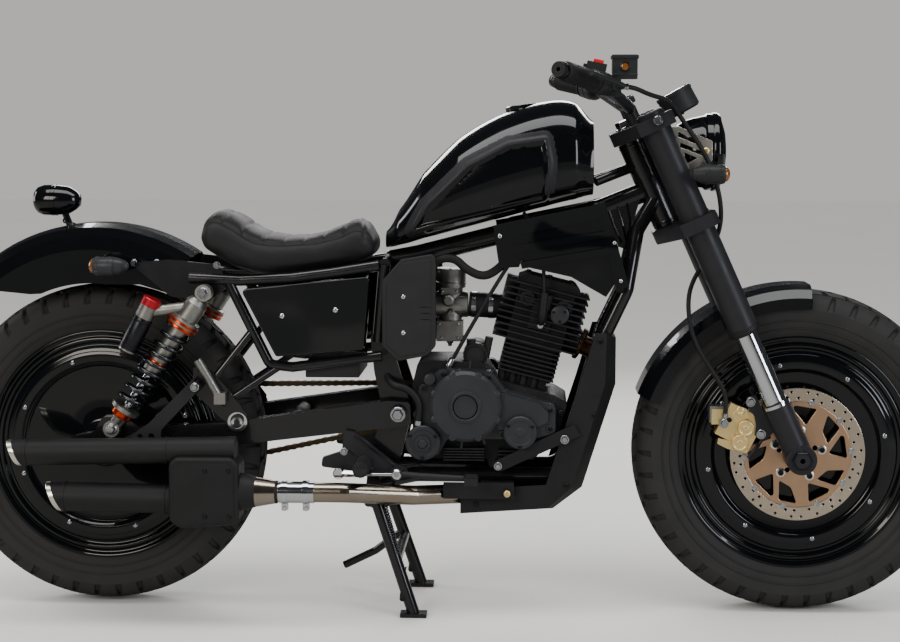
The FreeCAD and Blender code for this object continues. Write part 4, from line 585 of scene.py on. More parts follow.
nodesWearing = {
    "polishedLacquer": ("front_wheel", "rear_wheel", "rear_mudguard", "front_mudguard",
                        "tail_light", "fuel_tank", "headlight"),
    "satinPowderAlloy": ("front_axle", "fork_tubes", "fork_lowers", "handlebar", "muffler_hanger"),
    "powderCoatedSteel": ("frame_backbone", "frame_cradle", "frame_subframe", "swingarm",
                          "centre_stand"),
    "mouldedRubber": ("hoses", "brake_hose", "grips", "intake_manifold"),
    "zincPlatedSteel": ("gearbox_sprocket", "rear_axle", "rear_sprocket"),
    "mouldedPlastic": ("rear_indicators", "front_indicators"),
    "mouldedTyreRubber": ("front_tyre", "rear_tyre"),
    "groundStainless": ("brake_disc",), "goldAnodised": ("disc_carrier",), "oiledChainSteel": ("chain",),
    "dieCastAluminium": ("shock_bodies",), "drawnSpringWire": ("shock_springs",),
    "heatPaintedSheet": ("muffler",), "hardChrome": ("fork_stanchions",),
    "heatTintedStainless": ("exhaust_pipe",), "waxedLeather": ("seat",),
}
for finish, nodes in nodesWearing.items():
    for node in nodes:
        materials = frame["nodes"][node].data.materials
        materials.clear()
        materials.append(surfaces[finish])

softened = {
    # node: (finish, edge radius in millimetres)
    "engine_case": ("sandCastPainted", 1.2), "right_engine_cover": ("dieCastPainted", 2.0),
    "left_engine_cover": ("dieCastPainted", 2.0), "engine_cylinder": ("sandCastPainted", 0.7),
    "engine_head": ("sandCastPainted", 0.7), "carburettor": ("dieCastAluminium", 1.2),
    "air_box": ("mouldedPlastic", 4.0), "skid_plate": ("heatPaintedSheet", 1.0),
    "front_slats": ("wavedLacquer", 1.8), "yokes": ("satinPowderAlloy", 1.6),
    "bar_controls": ("mouldedPlastic", 1.2), "gauge": ("mouldedPlastic", 1.0),
    "headlight_bracket": ("brushedAluminium", 0.6), "brake_caliper": ("brightGoldAnodised", 2.0),
    "footpegs": ("dieCastAluminium", 1.2), "foot_levers": ("satinPowderAlloy", 1.0),
    "side_boxes": ("wavedLacquer", 3.0), "front_shrouds": ("wavedLacquer", 1.8),
}
for node, (finish, edge) in softened.items():
    form = softenedNode(node, finish, edge)
    if node == "footpegs":
        # the rider's plate is black, and the folded passenger pegs behind it are bare
        form.data.materials.append(surfaces["satinPowderAlloy"])
        for face in form.data.polygons:
            face.material_index = 1 if face.center.x > -0.35 else 0
print("CAD pieces dressed")

# Tyres: a moulded carcass with five rows of tread blocks

tyre = {"radius": 320, "shoulder": 284, "rows": 42, "grooveMm": 8, "blockDeepMm": 7.5, "stepsAcross": 4,
        "stepsAlong": 4}
# (radius, half width) of the tyre's skin from bead to crown
tyreSkin = ((226, 46), (232, 52), (242, 57), (252, 60.5), (268, 64.2), (284, 65), (292, 63.8), (299, 61),
            (306, 54), (311.5, 46), (315, 37), (317.6, 26), (319.4, 13), (320, 0))


def skinAt(across):
    # radius of the skin at a distance from the middle, for the tread only
    shoulder = [(half, radius) for radius, half in reversed(tyreSkin) if radius >= tyre["shoulder"]]
    across = abs(across)
    for (firstHalf, firstRadius), (lastHalf, lastRadius) in zip(shoulder, shoulder[1:]):
        if firstHalf <= across <= lastHalf:
            share = (across - firstHalf) / (lastHalf - firstHalf)
            return firstRadius + (lastRadius - firstRadius) * share
    return shoulder[-1][1]


def treadBlock(turn, length, row):
    # row: (inner, outer) distance from the middle, skew in millimetres and step at the outer end
    inner, outer, skew, step = row
    points, faces = [], []
    across, along = tyre["stepsAcross"], tyre["stepsAlong"]
    for level in (0, 1):
        for i in range(across + 1):
            reach = inner + (outer - inner) * i / across
            radius = skinAt(reach) - (0 if level else tyre["blockDeepMm"])
            taper = 1 if level else 1.12
            for j in range(along + 1):
                part = j / along - 0.5
                reached = part * (length - step * i / across) * taper + skew * i / across
                arc = reached / tyre["radius"] + turn
                points.append(mm(radius * cos(arc), radius * sin(arc), reach))
    wide = along + 1
    size = (across + 1) * wide
    for i in range(across):
        for j in range(along):
            start = size + i * wide + j
            faces.append((start, start + 1, start + wide + 1, start + wide))
    rim = list(range(wide)) + [i * wide + along for i in range(1, across + 1)]
    rim += [across * wide + j for j in range(along - 1, -1, -1)]
    rim += [i * wide for i in range(across - 1, 0, -1)]
    for first, last in zip(rim, rim[1:] + rim[:1]):
        faces.append((first, last, size + last, size + first))
    return points, faces


def makeTyre(name, hub, body, node):
    deep = tyre["blockDeepMm"]
    skin = []
    for radius, half in tyreSkin:
        drop = deep * min(1, max(0, (radius - tyre["shoulder"]) / 10))
        lean = drop if radius > 305 else drop * 0.7
        skin.append((radius - lean, half - (drop * 0.6 if tyre["shoulder"] < radius < 306 else 0)))
    profile = [(radius, -half) for radius, half in skin]
    profile += [(radius, half) for radius, half in reversed(skin[:-1])]
    profile += [(222, 44), (222, -44)]
    shapes = [lathed(profile, 144, True)]
    # raised rings on the sidewalls
    for half in (-1, 1):
        for radius, place in ((246, 59.3), (262, 63.4)):
            ring = [(radius - 1.6, place - 0.4), (radius - 0.8, place + 1.1), (radius + 0.8, place + 1.4),
                    (radius + 1.6, place + 0.6), (radius, place - 2)]
            shapes.append(lathed([(r, half * y) for r, y in ring], 144, True))
    pitch = 2 * pi * tyre["radius"] / tyre["rows"]
    length = pitch - tyre["grooveMm"]
    # inner, outer, skew, narrowing
    blockRows = ((1.5, 16, 7, 0), (21, 38.5, -7, 2), (42.5, 64.6, 5, 8))
    for count in range(tyre["rows"]):
        for order, row in enumerate(blockRows):
            for side in sides:
                shift = 0.5 if (order + (side > 0)) % 2 else 0.0
                turn = 2 * pi * (count + shift) / tyre["rows"]
                grow = 0.86 if order == 1 and count % 2 else 1.0
                block = treadBlock(turn, length * grow, row)
                shapes.append(([Vector((p.x, p.y, p.z * side)) for p in block[0]], block[1]))
    shape = placed(together(shapes), Matrix.Translation(hub) @ Matrix.Rotation(radians(90), 4, "X"))
    return addPiece(name, shape, "mouldedTyreRubber", body, 40, 0.0, (node,))


makeTyre("front_tyre_tread", frontHub, "front_wheel_body", "front_tyre")
makeTyre("rear_tyre_tread", rearHub, "rear_wheel_body", "rear_tyre")
print("tyres made")

# Wheel screws

wheelScrews = {"count": 8, "ringMm": 175, "radiusMm": 5.2, "faceMm": 53}
for name, hub, body, start in (("front", frontHub, "front_wheel_body", 0.2),
                               ("rear", rearHub, "rear_wheel_body", 0.35)):
    rows = []
    for side in sides:
        for number in range(wheelScrews["count"]):
            turn = start + 2 * pi * number / wheelScrews["count"]
            spot = hub + mm(wheelScrews["ringMm"] * cos(turn), side * wheelScrews["faceMm"],
                            wheelScrews["ringMm"] * sin(turn))
            rows.append((spot, Vector((0, side, 0)), wheelScrews["radiusMm"]))
    addScrews(name + "_cover_screws", domeScrew, rows, "zincPlatedSteel", body)

# Wheels: spun rims with three polished steps, dished covers and a bolted cover ring

# (radius, distance out) from the flange in to the hub
wheelFace = ((221, 49.5), (224, 51.5), (226.2, 53), (228.6, 53.2), (230, 52.2), (229.6, 50.2), (227.6, 49.6),
             (226, 48.6), (222, 46.2), (219.2, 44.6), (216.4, 45.2), (215.2, 47.2), (213.6, 48.4),
             (209.4, 48.6), (207.4, 47.6), (206.2, 45.2), (204.4, 43.4), (200.4, 43.0), (198.2, 43.8),
             (196.8, 46.4), (195.6, 50.0), (193.8, 51.4), (187.4, 51.6), (185.4, 52.0), (184.0, 52.8),
             (180, 53), (168.6, 53), (166.4, 52.4), (164.8, 50.6), (162.2, 47.2), (159.2, 45.0), (155, 44.2),
             (96, 43.6), (52, 44.4), (46, 46.0), (43.2, 49.4), (42, 52), (36, 52.8), (22.4, 53), (22, 54))
for name, hub, body, hubHalf in (("front", frontHub, "front_wheel_body", 73.8),
                                 ("rear", rearHub, "rear_wheel_body", 84.8)):
    half = list(wheelFace) + [(22, hubHalf - 1), (21, hubHalf), (9.4, hubHalf)]
    profile = [(radius, -out) for radius, out in half]
    profile += [(radius, out) for radius, out in reversed(half)]
    shape = turned(profile, across(hub, 1), 168, True)
    addPiece(name + "_wheel_spun", shape, "polishedLacquer", body, 50, 0.0,
             (name + "_wheel",))
    # tyre valve on the rim
    stem = lathed(((4.6, 0), (4.2, 5), (3.0, 8), (3.0, 24), (3.9, 24.4), (3.9, 31), (3.4, 32.6), (0.1, 33)),
                  14)
    turn = radians(118 if name == "front" else 64)
    outward = Vector((cos(turn), 0, sin(turn)))
    addPiece(name + "_tyre_valve",
             placed(stem, standing(hub + outward * 0.2035 + Vector((0, -0.040, 0)),
                                   -outward * 0.6 - Vector((0, 0.8, 0)))), "mouldedRubber", body)

# Brake disc: a ground ring with two rows of holes, bobbins and a cast carrier with ten windows

disc = {"radiusMm": 131, "bandMm": 26, "halfMm": 2.5, "placeMm": -70, "holes": 28,
        "rows": ((111.5, 0.0), (123.8, 0.5)), "holeMm": 2.7, "bolts": 5, "boltRingMm": 48, "boltMm": 5.6,
        "carrierMm": 104.4, "carrierHalfMm": 2.9, "hubMm": 24, "bobbins": 10, "bobbinRingMm": 104.6}
discHub = frontHub + mm(0, disc["placeMm"], 0)
ring = [circle(disc["radiusMm"], 120), circle(disc["radiusMm"] - disc["bandMm"] - 0.2, 96)]
for radius, shift in disc["rows"]:
    for number in range(disc["holes"]):
        turn = 2 * pi * (number + shift + 0.16 * (number % 3 - 1)) / disc["holes"]
        ring.append(circle(disc["holeMm"], 12, (radius * cos(turn), radius * sin(turn))))
addPiece("brake_disc_ring", placed(drilledSheet(ring, disc["halfMm"], 0.5), Matrix.Translation(discHub)),
         "groundStainless", "front_wheel_body", 32, 0.0, ("brake_disc",))


def roundedOutline(points, radius, steps=4):
    # a closed outline in millimetres with its corners turned into arcs
    made = []
    count = len(points)
    for index, corner in enumerate(points):
        before, after = Vector(points[index - 1]), Vector(points[(index + 1) % count])
        corner = Vector(corner)
        room = min(radius, (before - corner).length * 0.45, (after - corner).length * 0.45)
        start = corner + (before - corner).normalized() * room
        end = corner + (after - corner).normalized() * room
        for step in range(steps + 1):
            share = step / steps
            spot = start.lerp(corner, share).lerp(corner.lerp(end, share), share)
            made.append((spot.x, spot.y))
    return made


def polar(rows):
    # (radius, degrees) pairs as flat points
    return [(radius * cos(radians(turn)), radius * sin(radians(turn))) for radius, turn in rows]


carrier = [circle(disc["carrierMm"], 96), circle(disc["hubMm"], 48)]
for number in range(5):
    start = 72 * number - 14
    carrier.append(roundedOutline(polar(((60, start + 17), (97, start + 10), (97, start + 36),
                                         (92, start + 39))), 5))
    carrier.append(roundedOutline(polar(((62, start + 34), (66, start + 58), (97, start + 68),
                                         (97, start + 47))), 5))
    carrier.append(circle(5, 12, polar(((36, start + 36),))[0]))
addPiece("disc_carrier_cast",
         placed(drilledSheet(carrier, disc["carrierHalfMm"], 0.7),
                Matrix.Translation(discHub + mm(0, -0.2, 0))), "goldAnodised", "front_wheel_body",
         32, 0.0, ("disc_carrier",))
bobbins, carrierBolts = [], []
for number in range(disc["bobbins"]):
    turn = radians(360 / disc["bobbins"] * number + 4)
    spot = discHub + mm(disc["bobbinRingMm"] * cos(turn), -2.4, disc["bobbinRingMm"] * sin(turn))
    bobbins.append(turned(((6.2, 0), (6.2, 1.0), (5.6, 1.5), (3.2, 1.5), (2.9, 0.8), (0.1, 0.8)),
                          across(spot, -1), 16))
for number in range(disc["bolts"]):
    turn = radians(72 * number + 12)
    spot = discHub + mm(disc["boltRingMm"] * cos(turn), -3.1, disc["boltRingMm"] * sin(turn))
    carrierBolts.append((spot, outRight, disc["boltMm"]))
addPiece("disc_bobbins", bobbins, "zincPlatedSteel", "front_wheel_body", 40)
addScrews("disc_carrier_bolts", capScrew, carrierBolts, "blackOxideSteel", "front_wheel_body")
washers = [turned(((9.4, 0), (9.4, 0.7), (8.8, 1.1), (0.1, 1.1)), across(spot + mm(0, 0.4, 0), -1), 20)
           for spot, direction, radius in carrierBolts]
addPiece("disc_bolt_washers", washers, "brushedAluminium", "front_wheel_body", 40)
print("wheels and disc made")

# Fuel tank: one smooth skin with a framed knee recess on each side

tank = {
    # x, underside, crown, half width in millimetres
    "stations": ((-121, 719, 752, 40), (-95, 724, 795, 86), (-46, 738, 868, 112), (23, 756, 935, 126),
                 (102, 777, 980, 130), (190, 800, 1006, 128), (250, 815, 1004, 118), (285, 824, 968, 96)),
    "recess": ((-34, 766), (-62, 757), (-34, 806), (44, 882), (122, 922), (190, 932), (198, 890), (190, 818)),
    "recessDeepMm": 7, "frameWideMm": 9, "frameHighMm": 2.2, "rows": 150, "columns": 168,
}


def smoothRow(rows, x):
    # what the rows say at x, on smooth curves through their columns
    for number, (first, last) in enumerate(zip(rows, rows[1:])):
        if x <= last[0] or last is rows[-1]:
            share = (x - first[0]) / (last[0] - first[0])
            before, after = rows[max(0, number - 1)], rows[min(len(rows) - 1, number + 2)]
            return [0.5 * (2 * b + (c - a) * share + (2 * a - 5 * b + 4 * c - d) * share ** 2
                           + (3 * b - a - 3 * c + d) * share ** 3)
                    for a, b, c, d in zip(before[1:], first[1:], last[1:], after[1:])]


def outlineDistance(x, z, outline):
    # millimetres inside (positive) or outside (negative) a closed outline
    inside, nearest = False, 1e9
    for (ax, az), (bx, bz) in zip(outline, outline[1:] + outline[:1]):
        if (az > z) != (bz > z) and x < (bx - ax) * (z - az) / (bz - az) + ax:
            inside = not inside
        span = (bx - ax) ** 2 + (bz - az) ** 2
        share = max(0, min(1, ((x - ax) * (bx - ax) + (z - az) * (bz - az)) / span))
        nearest = min(nearest, hypot(x - ax - share * (bx - ax), z - az - share * (bz - az)))
    return nearest if inside else -nearest


def easing(value):
    value = max(0, min(1, value))
    return value * value * (3 - 2 * value)


def tankPoint(x, turn):
    low, crown, half = smoothRow(tank["stations"], x)
    middle = low + (crown - low) * 0.42
    across = cos(turn)
    rise = sin(turn)
    power = 0.72 if rise < 0 else 0.86
    y = half * copysign(abs(across) ** 0.78, across)
    z = middle + (crown - middle if rise > 0 else middle - low) * copysign(abs(rise) ** power, rise)
    depth = outlineDistance(x, z, tank["recess"])
    if abs(across) > 0.25 and depth > -30:
        wide = tank["frameWideMm"]
        sunk = tank["recessDeepMm"] * easing((depth - 1) / 7)
        framed = tank["frameHighMm"] * easing((depth + wide) / 4) * (1 - easing((depth + 1) / 4))
        y += (framed - sunk) * copysign(1, across)
    return y, z


def skinned(points, columns):
    # rows of points that each go once round, closed at both ends
    rows = len(points) // columns
    ends = [tuple(range(columns)), tuple(range((rows - 1) * columns, rows * columns))]
    return points, wallFaces(rows, columns) + ends


def makeTank():
    rows, columns = tank["rows"], tank["columns"]
    first, last = tank["stations"][0][0], tank["stations"][-1][0]
    points = []
    for row in range(rows + 1):
        x = first + (last - first) * row / rows
        for column in range(columns):
            y, z = tankPoint(x, 2 * pi * column / columns)
            points.append(cad(x, y, z))
    return skinned(points, columns)


addPiece("fuel_tank_skin", makeTank(), "polishedLacquer", "chassis", 50, 0.0, ("fuel_tank",))
print("tank made")

# Fork: caps, dust seals, bright rings, pinch screws and the front axle's nuts

fork = {"spread": 110, "offset": 48, "capTop": 6, "coverEnd": -448, "chromeEnd": -604,
        "cap": ((27, 0), (27, 3), (24.5, 5), (13, 5), (11.5, 2), (0.01, 2)),
        "seal": ((29.1, 0), (30.8, 1), (30.8, 9), (28, 13), (22.8, 15), (22.8, 9), (29.1, 8)),
        "ring": ((22.7, 0), (27.5, 0), (27.5, 6), (25.5, 9), (22.7, 9)),
        "nut": ((14.4, 0), (19, 0), (19, 6), (17, 8), (14.4, 8))}


def forkTurned(ahead, across, up):
    # a frame standing along the fork
    return Matrix.Translation(onFork(ahead, across, up)) @ Matrix.Rotation(-steering["rake"], 4, "Y")


caps, seals, brightRings, axleNuts = [], [], [], []
for side in sides:
    leg = side * fork["spread"]
    caps.append(turned(fork["cap"], forkTurned(fork["offset"], leg, fork["capTop"]), 36))
    seals.append(turned(fork["seal"],
                        standing(onFork(fork["offset"], leg, fork["coverEnd"] + 9), -forkUp), 40, True))
    brightRings.append(turned(fork["ring"], forkTurned(fork["offset"], leg, fork["chromeEnd"] - 1),
                              40, True))
    axleNuts.append(turned(fork["nut"], across(frontHub + mm(0, side * 137.1, 0), side), 6, True))
addPiece("fork_caps", caps, "satinPowderAlloy", "steering", 35, 0.6)
addPiece("fork_dust_seals", seals, "mouldedRubber", "steering", 30)
addPiece("fork_bright_rings", brightRings, "hardChrome", "steering", 30)
addPiece("front_axle_nuts", axleNuts, "blackOxideSteel", "steering", 30, 0.5)
clampScrews = []
for side in sides:
    leg = side * fork["spread"]
    clampScrews += [(onFork(87, leg - side * 22, -13), forkAhead, 4.4),
                    (onFork(87, leg - side * 22, -221), forkAhead, 4.4),
                    (frontHub + mm(14, leg + side * 12, -25.4), (0.45, 0, -0.9), 4.6),
                    (frontHub + mm(14, leg - side * 12, -25.4), (0.45, 0, -0.9), 4.6)]
addScrews("fork_pinch_screws", capScrew, clampScrews, "blackOxideSteel", "steering")
addScrews("top_clamp_screws", capScrew, [(onFork(56, side * 148.8, -9), (0, side, 0), 9) for side in sides],
          "zincPlatedSteel", "steering")
stemNut = together((turned(((19, 0), (19, 2.5), (17, 3.5), (0.01, 3.5)), forkTurned(0, 0, 0.1), 32),
                    turned(((16, 3.5), (16, 14), (13.5, 16.5), (0.01, 16.5)), forkTurned(0, 0, 0.1), 6)))
addPiece("steering_stem_nut", stemNut, "hardChrome", "steering", 30, 0.5)
barClamps = {"size": (36, 27, 13), "ahead": 20, "out": 45, "up": 46.5, "screwsAhead": (-13, 13)}
clampBlocks = [placed(brick(barClamps["size"], (0, 0, 0)),
                      forkTurned(barClamps["ahead"], side * barClamps["out"], barClamps["up"]))
               for side in sides]
addPiece("bar_clamp_caps", clampBlocks, "satinPowderAlloy", "steering", 32, 2.5)
addScrews("bar_clamp_screws", capScrew,
          [(onFork(barClamps["ahead"] + ahead, side * barClamps["out"], barClamps["up"] + 6.4), forkUp, 3.6)
           for side in sides for ahead in barClamps["screwsAhead"]], "zincPlatedSteel", "steering")
print("fork dressed")

# Front brake: caliper lobes, bridge, pad pin, banjo and bracket screws

caliper = {"face": -96.5, "lobes": ((582, 376, 15), (571, 347, 15)), "small": (571, 409, 8),
           "pin": ((589, 316), (614, 350)), "inner": ((513, 385), (513, 417), (542, 417), (543, 379)),
           "screws": ((591, 428, 7), (612, 365, 7)), "bodyScrews": ((551, 392, 4.5), (606, 342, 4.5))}
lobes = []
for x, z, radius in caliper["lobes"]:
    rim = ((radius + 1.4, -7.5), (radius + 1.6, 0), (radius, 2.2), (radius - 3, 2.2), (radius - 4, 0.8),
           (5.5, 0.8), (5, 2.4), (3, 2.8), (0.01, 2.8))
    lobes.append(turned(rim, across(cad(x, caliper["face"] - 8, z), -1), 36))
x, z, radius = caliper["small"]
lobes.append(turned(((radius + 1.2, -4), (radius + 1.2, 1), (radius - 1, 2.6), (3.4, 2.6), (3, 1),
                     (0.01, 1)), across(cad(x, caliper["face"] - 4, z), -1), 28))
lobes.append(cadPlate(((560, 354), (569, 372), (594, 372), (586, 352)), -101.5, -96))
lobes.append(cadPlate(((530, 356), (528, 345), (548, 335), (585, 326), (590, 334), (556, 350)), -99.5, -93))
lobes.append(cadPlate(((561, 386), (556, 402), (567, 420), (584, 414), (590, 396)), -99.8, -95.5))
addPiece("caliper_castings", lobes, "brightGoldAnodised", "steering", 34, 0.9)
addPiece("caliper_inner_block", cadPlate(caliper["inner"], -92, -58), "dieCastAluminium", "steering",
         32, 1.6)
(x1, z1), (x2, z2) = caliper["pin"]
addPiece("caliper_pad_pin", swept([cad(x1, -91, z1), cad(x2, -91, z2)], 3.4, 16), "blackOxideSteel",
         "steering", 30)
addScrews("caliper_bracket_screws", hexScrew,
          [(cad(x, -103.4, z), outRight, r) for x, z, r in caliper["screws"]], "zincPlatedSteel",
          "steering")
addScrews("caliper_body_screws", capScrew,
          [(cad(x, -97, z), outRight, r) for x, z, r in caliper["bodyScrews"]], "blackOxideSteel",
          "steering")

# Hoses and cables that clips hold all the way, each on its route's own points


def routedTube(name, points, radius, body, instead=()):
    route = bpy.data.curves.new(name, "CURVE")
    route.dimensions = "3D"
    route.bevel_depth, route.bevel_resolution, route.resolution_u = radius / 1000, 5, 14
    route.use_fill_caps = True
    spline = route.splines.new("NURBS")
    spline.points.add(len(points) - 1)
    for point, place in zip(spline.points, points):
        point.co = (*place, 1)
    spline.order_u = 3
    spline.use_endpoint_u = True
    route.materials.append(surfaces["mouldedRubber"])
    tube = newObject(name, route)
    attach(tube, body)
    if instead:
        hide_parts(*instead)


hoseEnd = caliper["face"] - 4.8
perch = onFork(-5, -218, 84)
brakeRoute = [perch + mm(20.3, 0, 2), perch + mm(42.3, 0, 2)]
brakeRoute += [onFork(*point)
               for point in ((58, -186, 42), (90, -140, 18), (100, -106, -20), (119, -103, -124),
                             (101, -101, -230), (48, -66, -290), (-6, -76, -322), (-34, -88, -365),
                             (-49, -92, -433), (-34, -99, -520), (-34, hoseEnd, -558), (-56, hoseEnd, -592))]
routedTube("front_brake_hose", brakeRoute, 4.5, "steering", ("brake_hose",))
airRoute = [cad(*point)
            for point in ((-50, -92, 664), (-20, -92, 702), (17, -90, 705), (39, -88, 682), (70, -84, 667),
                          (95, -76, 676), (126, -58, 706), (160, -20, 752))]
cableRoute = [cad(*point)
              for point in ((4, -84, 488), (26, -84, 530), (104, -82, 664), (140, -60, 716),
                            (176, -16, 758))]
breatherRoute = [cad(*point)
                 for point in ((-114, -92.7, 472), (-108, -124, 460), (-71, -125, 453), (-49, -125, 427),
                               (-51, -124, 396), (-54, -122, 376))]
routedTube("air_hose", airRoute, 8.5, "chassis", ("hoses",))
routedTube("clutch_cable", cableRoute, 4, "chassis", ("hoses",))
routedTube("breather_hose", breatherRoute, 7, "chassis", ("hoses",))


def crimp(place, direction, radius):
    # a swaged metal ferrule with two rings
    return turned(((radius + 1, 0), (radius + 1, 3), (radius + 0.3, 4), (radius + 0.3, 9), (radius + 1, 10),
                   (radius + 1, 14), (radius - 0.6, 15), (0.01, 15)), standing(place, direction), 24)


endLine = (brakeRoute[-2] - brakeRoute[-1]).normalized()
banjoPlace = brakeRoute[-1] - endLine * 0.006
banjo = together((crimp(brakeRoute[-1] - endLine * 0.001, endLine, 5), crimp(brakeRoute[0], (1, 0, 0), 5),
                  turned(((9, -4), (9, 4), (4, 4), (4, -4)), across(banjoPlace, -1), 28, True),
                  placed(hexScrew(6.4), across(banjoPlace + mm(0, -4, 0), -1)),
                  turned(((5, 0), (5, 9), (0.01, 9)), across(banjoPlace + mm(0, 4, 0), 1), 18)))
addPiece("brake_hose_fittings", banjo, "zincPlatedSteel", "steering", 32)


def hoseClip(place, direction, radius):
    # a worm-drive band with its screw box
    band = lathed(((radius + 0.2, -4.5), (radius + 1.2, -4.5), (radius + 1.2, 4.5), (radius + 0.2, 4.5)),
                  32, True)
    return placed(together((band, brick((9, 8, 5), (0, 0, radius + 2.8)))), standing(place, direction))


clips = [hoseClip(airRoute[0].lerp(airRoute[1], 0.3), airRoute[1] - airRoute[0], 8.5),
         hoseClip(breatherRoute[-1].lerp(breatherRoute[-2], 0.5), breatherRoute[-2] - breatherRoute[-1], 7),
         turned(((4.1, -9), (7, -9), (7, 5), (5.6, 9), (4.1, 9)),
                standing(cableRoute[0].lerp(cableRoute[1], 0.25), cableRoute[1] - cableRoute[0]), 24, True)]
addPiece("hose_clips", clips, "zincPlatedSteel", "chassis", 32)
print("front brake and hoses made")

# Grips, switches, lever pivots and reservoir

barEnd = {side: onFork(-78, side * 384, 147) for side in sides}
barStart = {side: onFork(-9, side * 236, 90) for side in sides}
gripLook = {"from": 61, "to": 156, "ribs": 19, "radius": 17.1, "ribHigh": 1.3}
ribbed, collars, switches, redPieces, pivots = [], [], [], [], []
for side in sides:
    line = (barEnd[side] - barStart[side]).normalized()
    profile = [(16, gripLook["from"])]
    pitch = (gripLook["to"] - gripLook["from"]) / gripLook["ribs"]
    for rib in range(gripLook["ribs"]):
        foot = gripLook["from"] + rib * pitch
        profile += [(gripLook["radius"], foot + 0.4), (gripLook["radius"] + gripLook["ribHigh"], foot + 1.3),
                    (gripLook["radius"] + gripLook["ribHigh"], foot + 3.2), (gripLook["radius"], foot + 4.1)]
    profile += [(16, gripLook["to"])]
    ribbed.append(turned(profile, standing(barStart[side], line), 36))
    collars.append(turned(((14.1, 166), (15.3, 167.5), (15.3, 174), (14.4, 176), (14.1, 176)),
                          standing(barStart[side], line), 36, True))
    upright = standing(barStart[side], line)
    switches.append(turned(((22.1, 26.4), (22.8, 26.6), (22.8, 29.2), (22.1, 29.4)), upright, 40, True))
    box = Matrix.Translation(barStart[side] + line * 0.028 + mm(-8, 0, 20)) @ Matrix.Rotation(0.2, 4, "Y")
    switches.append(placed(brick((36, 34, 34), (0, 0, 0)), box))
    switches.append(placed(brick((10, 12, 14), (-19, 0, 4)), box))
    redPieces.append(placed(brick((19, 12, 9), (2, -6 * side, 19)), box))
    pivots.append((barStart[side] + line * 0.020 + mm(27, 0, 1.8), (0, 0, 1), 5.5))
addPiece("grip_ribs", ribbed, "mouldedRubber", "steering", 50)
addPiece("bar_end_collars", collars, "blackOxideSteel", "steering", 30)
addPiece("switch_housings", switches, "mouldedPlastic", "steering", 32, 2.2)
addPiece("red_switches", redPieces, "redSwitchPlastic", "steering", 32, 1.4)
addScrews("lever_pivot_screws", domeScrew, pivots, "zincPlatedSteel", "steering")
reservoir = {"foot": perch + mm(4, -14, 16), "size": (46, 42, 44)}
wide, deep, high = reservoir["size"]
middle = Matrix.Translation(reservoir["foot"] + mm(wide / 2, deep / 2, 0))
lip = [placed(brick((wide + 4, deep + 4, 6.5), (0, 0, 39.8)), middle),
       placed(brick((wide + 2, deep + 2, 2), (0, 0, 8)), middle)]
addPiece("reservoir_lid", lip, "satinPowderAlloy", "steering", 32, 1.6)
sight = reservoir["foot"] + mm(wide / 2, 0, high / 2)
addPiece("reservoir_sight_rim",
         turned(((9.5, 0), (9.5, 1.6), (8, 2.2), (7, 2.2), (7, 0.4), (0.01, 0.4)), across(sight, -1), 32),
         "blackOxideSteel", "steering", 30)
addPiece("reservoir_sight_glass",
         turned(((6.9, 0.3), (6.6, 1.5), (4, 2.3), (0.01, 2.6)), across(sight, -1), 28), "smokedAmberLens",
         "steering", 30)

# Gauge: cup rim, printed dial, needle and glass, tilted to the rider

gauge = {"face": cad(441, 0, 1024), "back": cad(462, 0, 986)}
gaugeUp = (gauge["face"] - gauge["back"]).normalized()
gaugeStand = standing(gauge["face"], gaugeUp)
addPiece("gauge_rim",
         turned(((34.4, -6), (37, -6), (37.3, -1), (36.2, 1.2), (33.6, 1.6), (32.4, 0.4), (32.4, -1.5)),
                gaugeStand, 56, True), "satinPowderAlloy", "steering", 34)
addPiece("gauge_dial", turned(((33.4, 0.05), (33.4, 0.2), (0.01, 0.2)), gaugeStand, 48), "printedDial",
         "steering", 30)
marks = []
for step in range(25):
    turn = radians(-225 + step * 11.25)
    long = 5.5 if step % 4 == 0 else 3
    bar = brick((long, 0.9 if step % 4 == 0 else 0.55, 0.1), (29.5 - long / 2, 0, 0.3))
    marks.append(placed(placed(bar, Matrix.Rotation(turn, 4, "Z")), gaugeStand))
marks.append(placed(placed(brick((24, 1.3, 0.2), (9, 0, 0.7)), Matrix.Rotation(radians(-220), 4, "Z")),
                    gaugeStand))
marks.append(turned(((3.6, 0.2), (3.6, 1.0), (0.01, 1.2)), gaugeStand, 20))
addPiece("gauge_marks", marks, "whitePrint", "steering", 30)
addPiece("gauge_glass",
         turned(((33.2, 0.9), (33.2, 1.3), (26, 2.3), (14, 2.9), (0.01, 3.1)), gaugeStand, 48),
         "clearPolycarbonate", "steering", 60)

# Headlight: spun shell, rim, reflector, bulb cap and lens; bracket bolts

lamp = {"front": cad(531, 0, 908),
        "shell": ((60, 9), (70, 8), (74.6, 12), (75, 16), (75, 26), (72.5, 28.5), (70.5, 31), (70, 36),
                  (67, 50), (62, 66), (53, 81), (41, 92), (24, 99), (8, 102), (0.01, 102)),
        "rim": ((66, 1), (71, -2), (75.4, 1), (77, 6), (77, 13), (75.5, 15), (72, 14), (66, 6)),
        "bowl": ((66, 4), (60, 12), (52, 24), (40, 36), (24, 45), (9, 49), (0.01, 49)),
        "lens": ((67.5, 3), (66.5, 0.5), (58, -5.5), (42, -10.5), (22, -13), (0.01, -13.8))}
lampStand = standing(lamp["front"], (-1, 0, 0))
addPiece("headlight_shell", turned(lamp["shell"], lampStand, 72), "polishedLacquer", "steering",
         40, 0.0, ("headlight",))
addPiece("headlight_rim", turned(lamp["rim"], lampStand, 72, True), "polishedLacquer", "steering",
         40)
addPiece("headlight_reflector", turned(lamp["bowl"], lampStand, 64), "metallisedReflector",
         "steering", 60)
addPiece("headlight_bulb_cap", turned(((11, 48), (11, 22), (8.5, 17), (0.01, 16)), lampStand, 32),
         "hardChrome", "steering", 40)
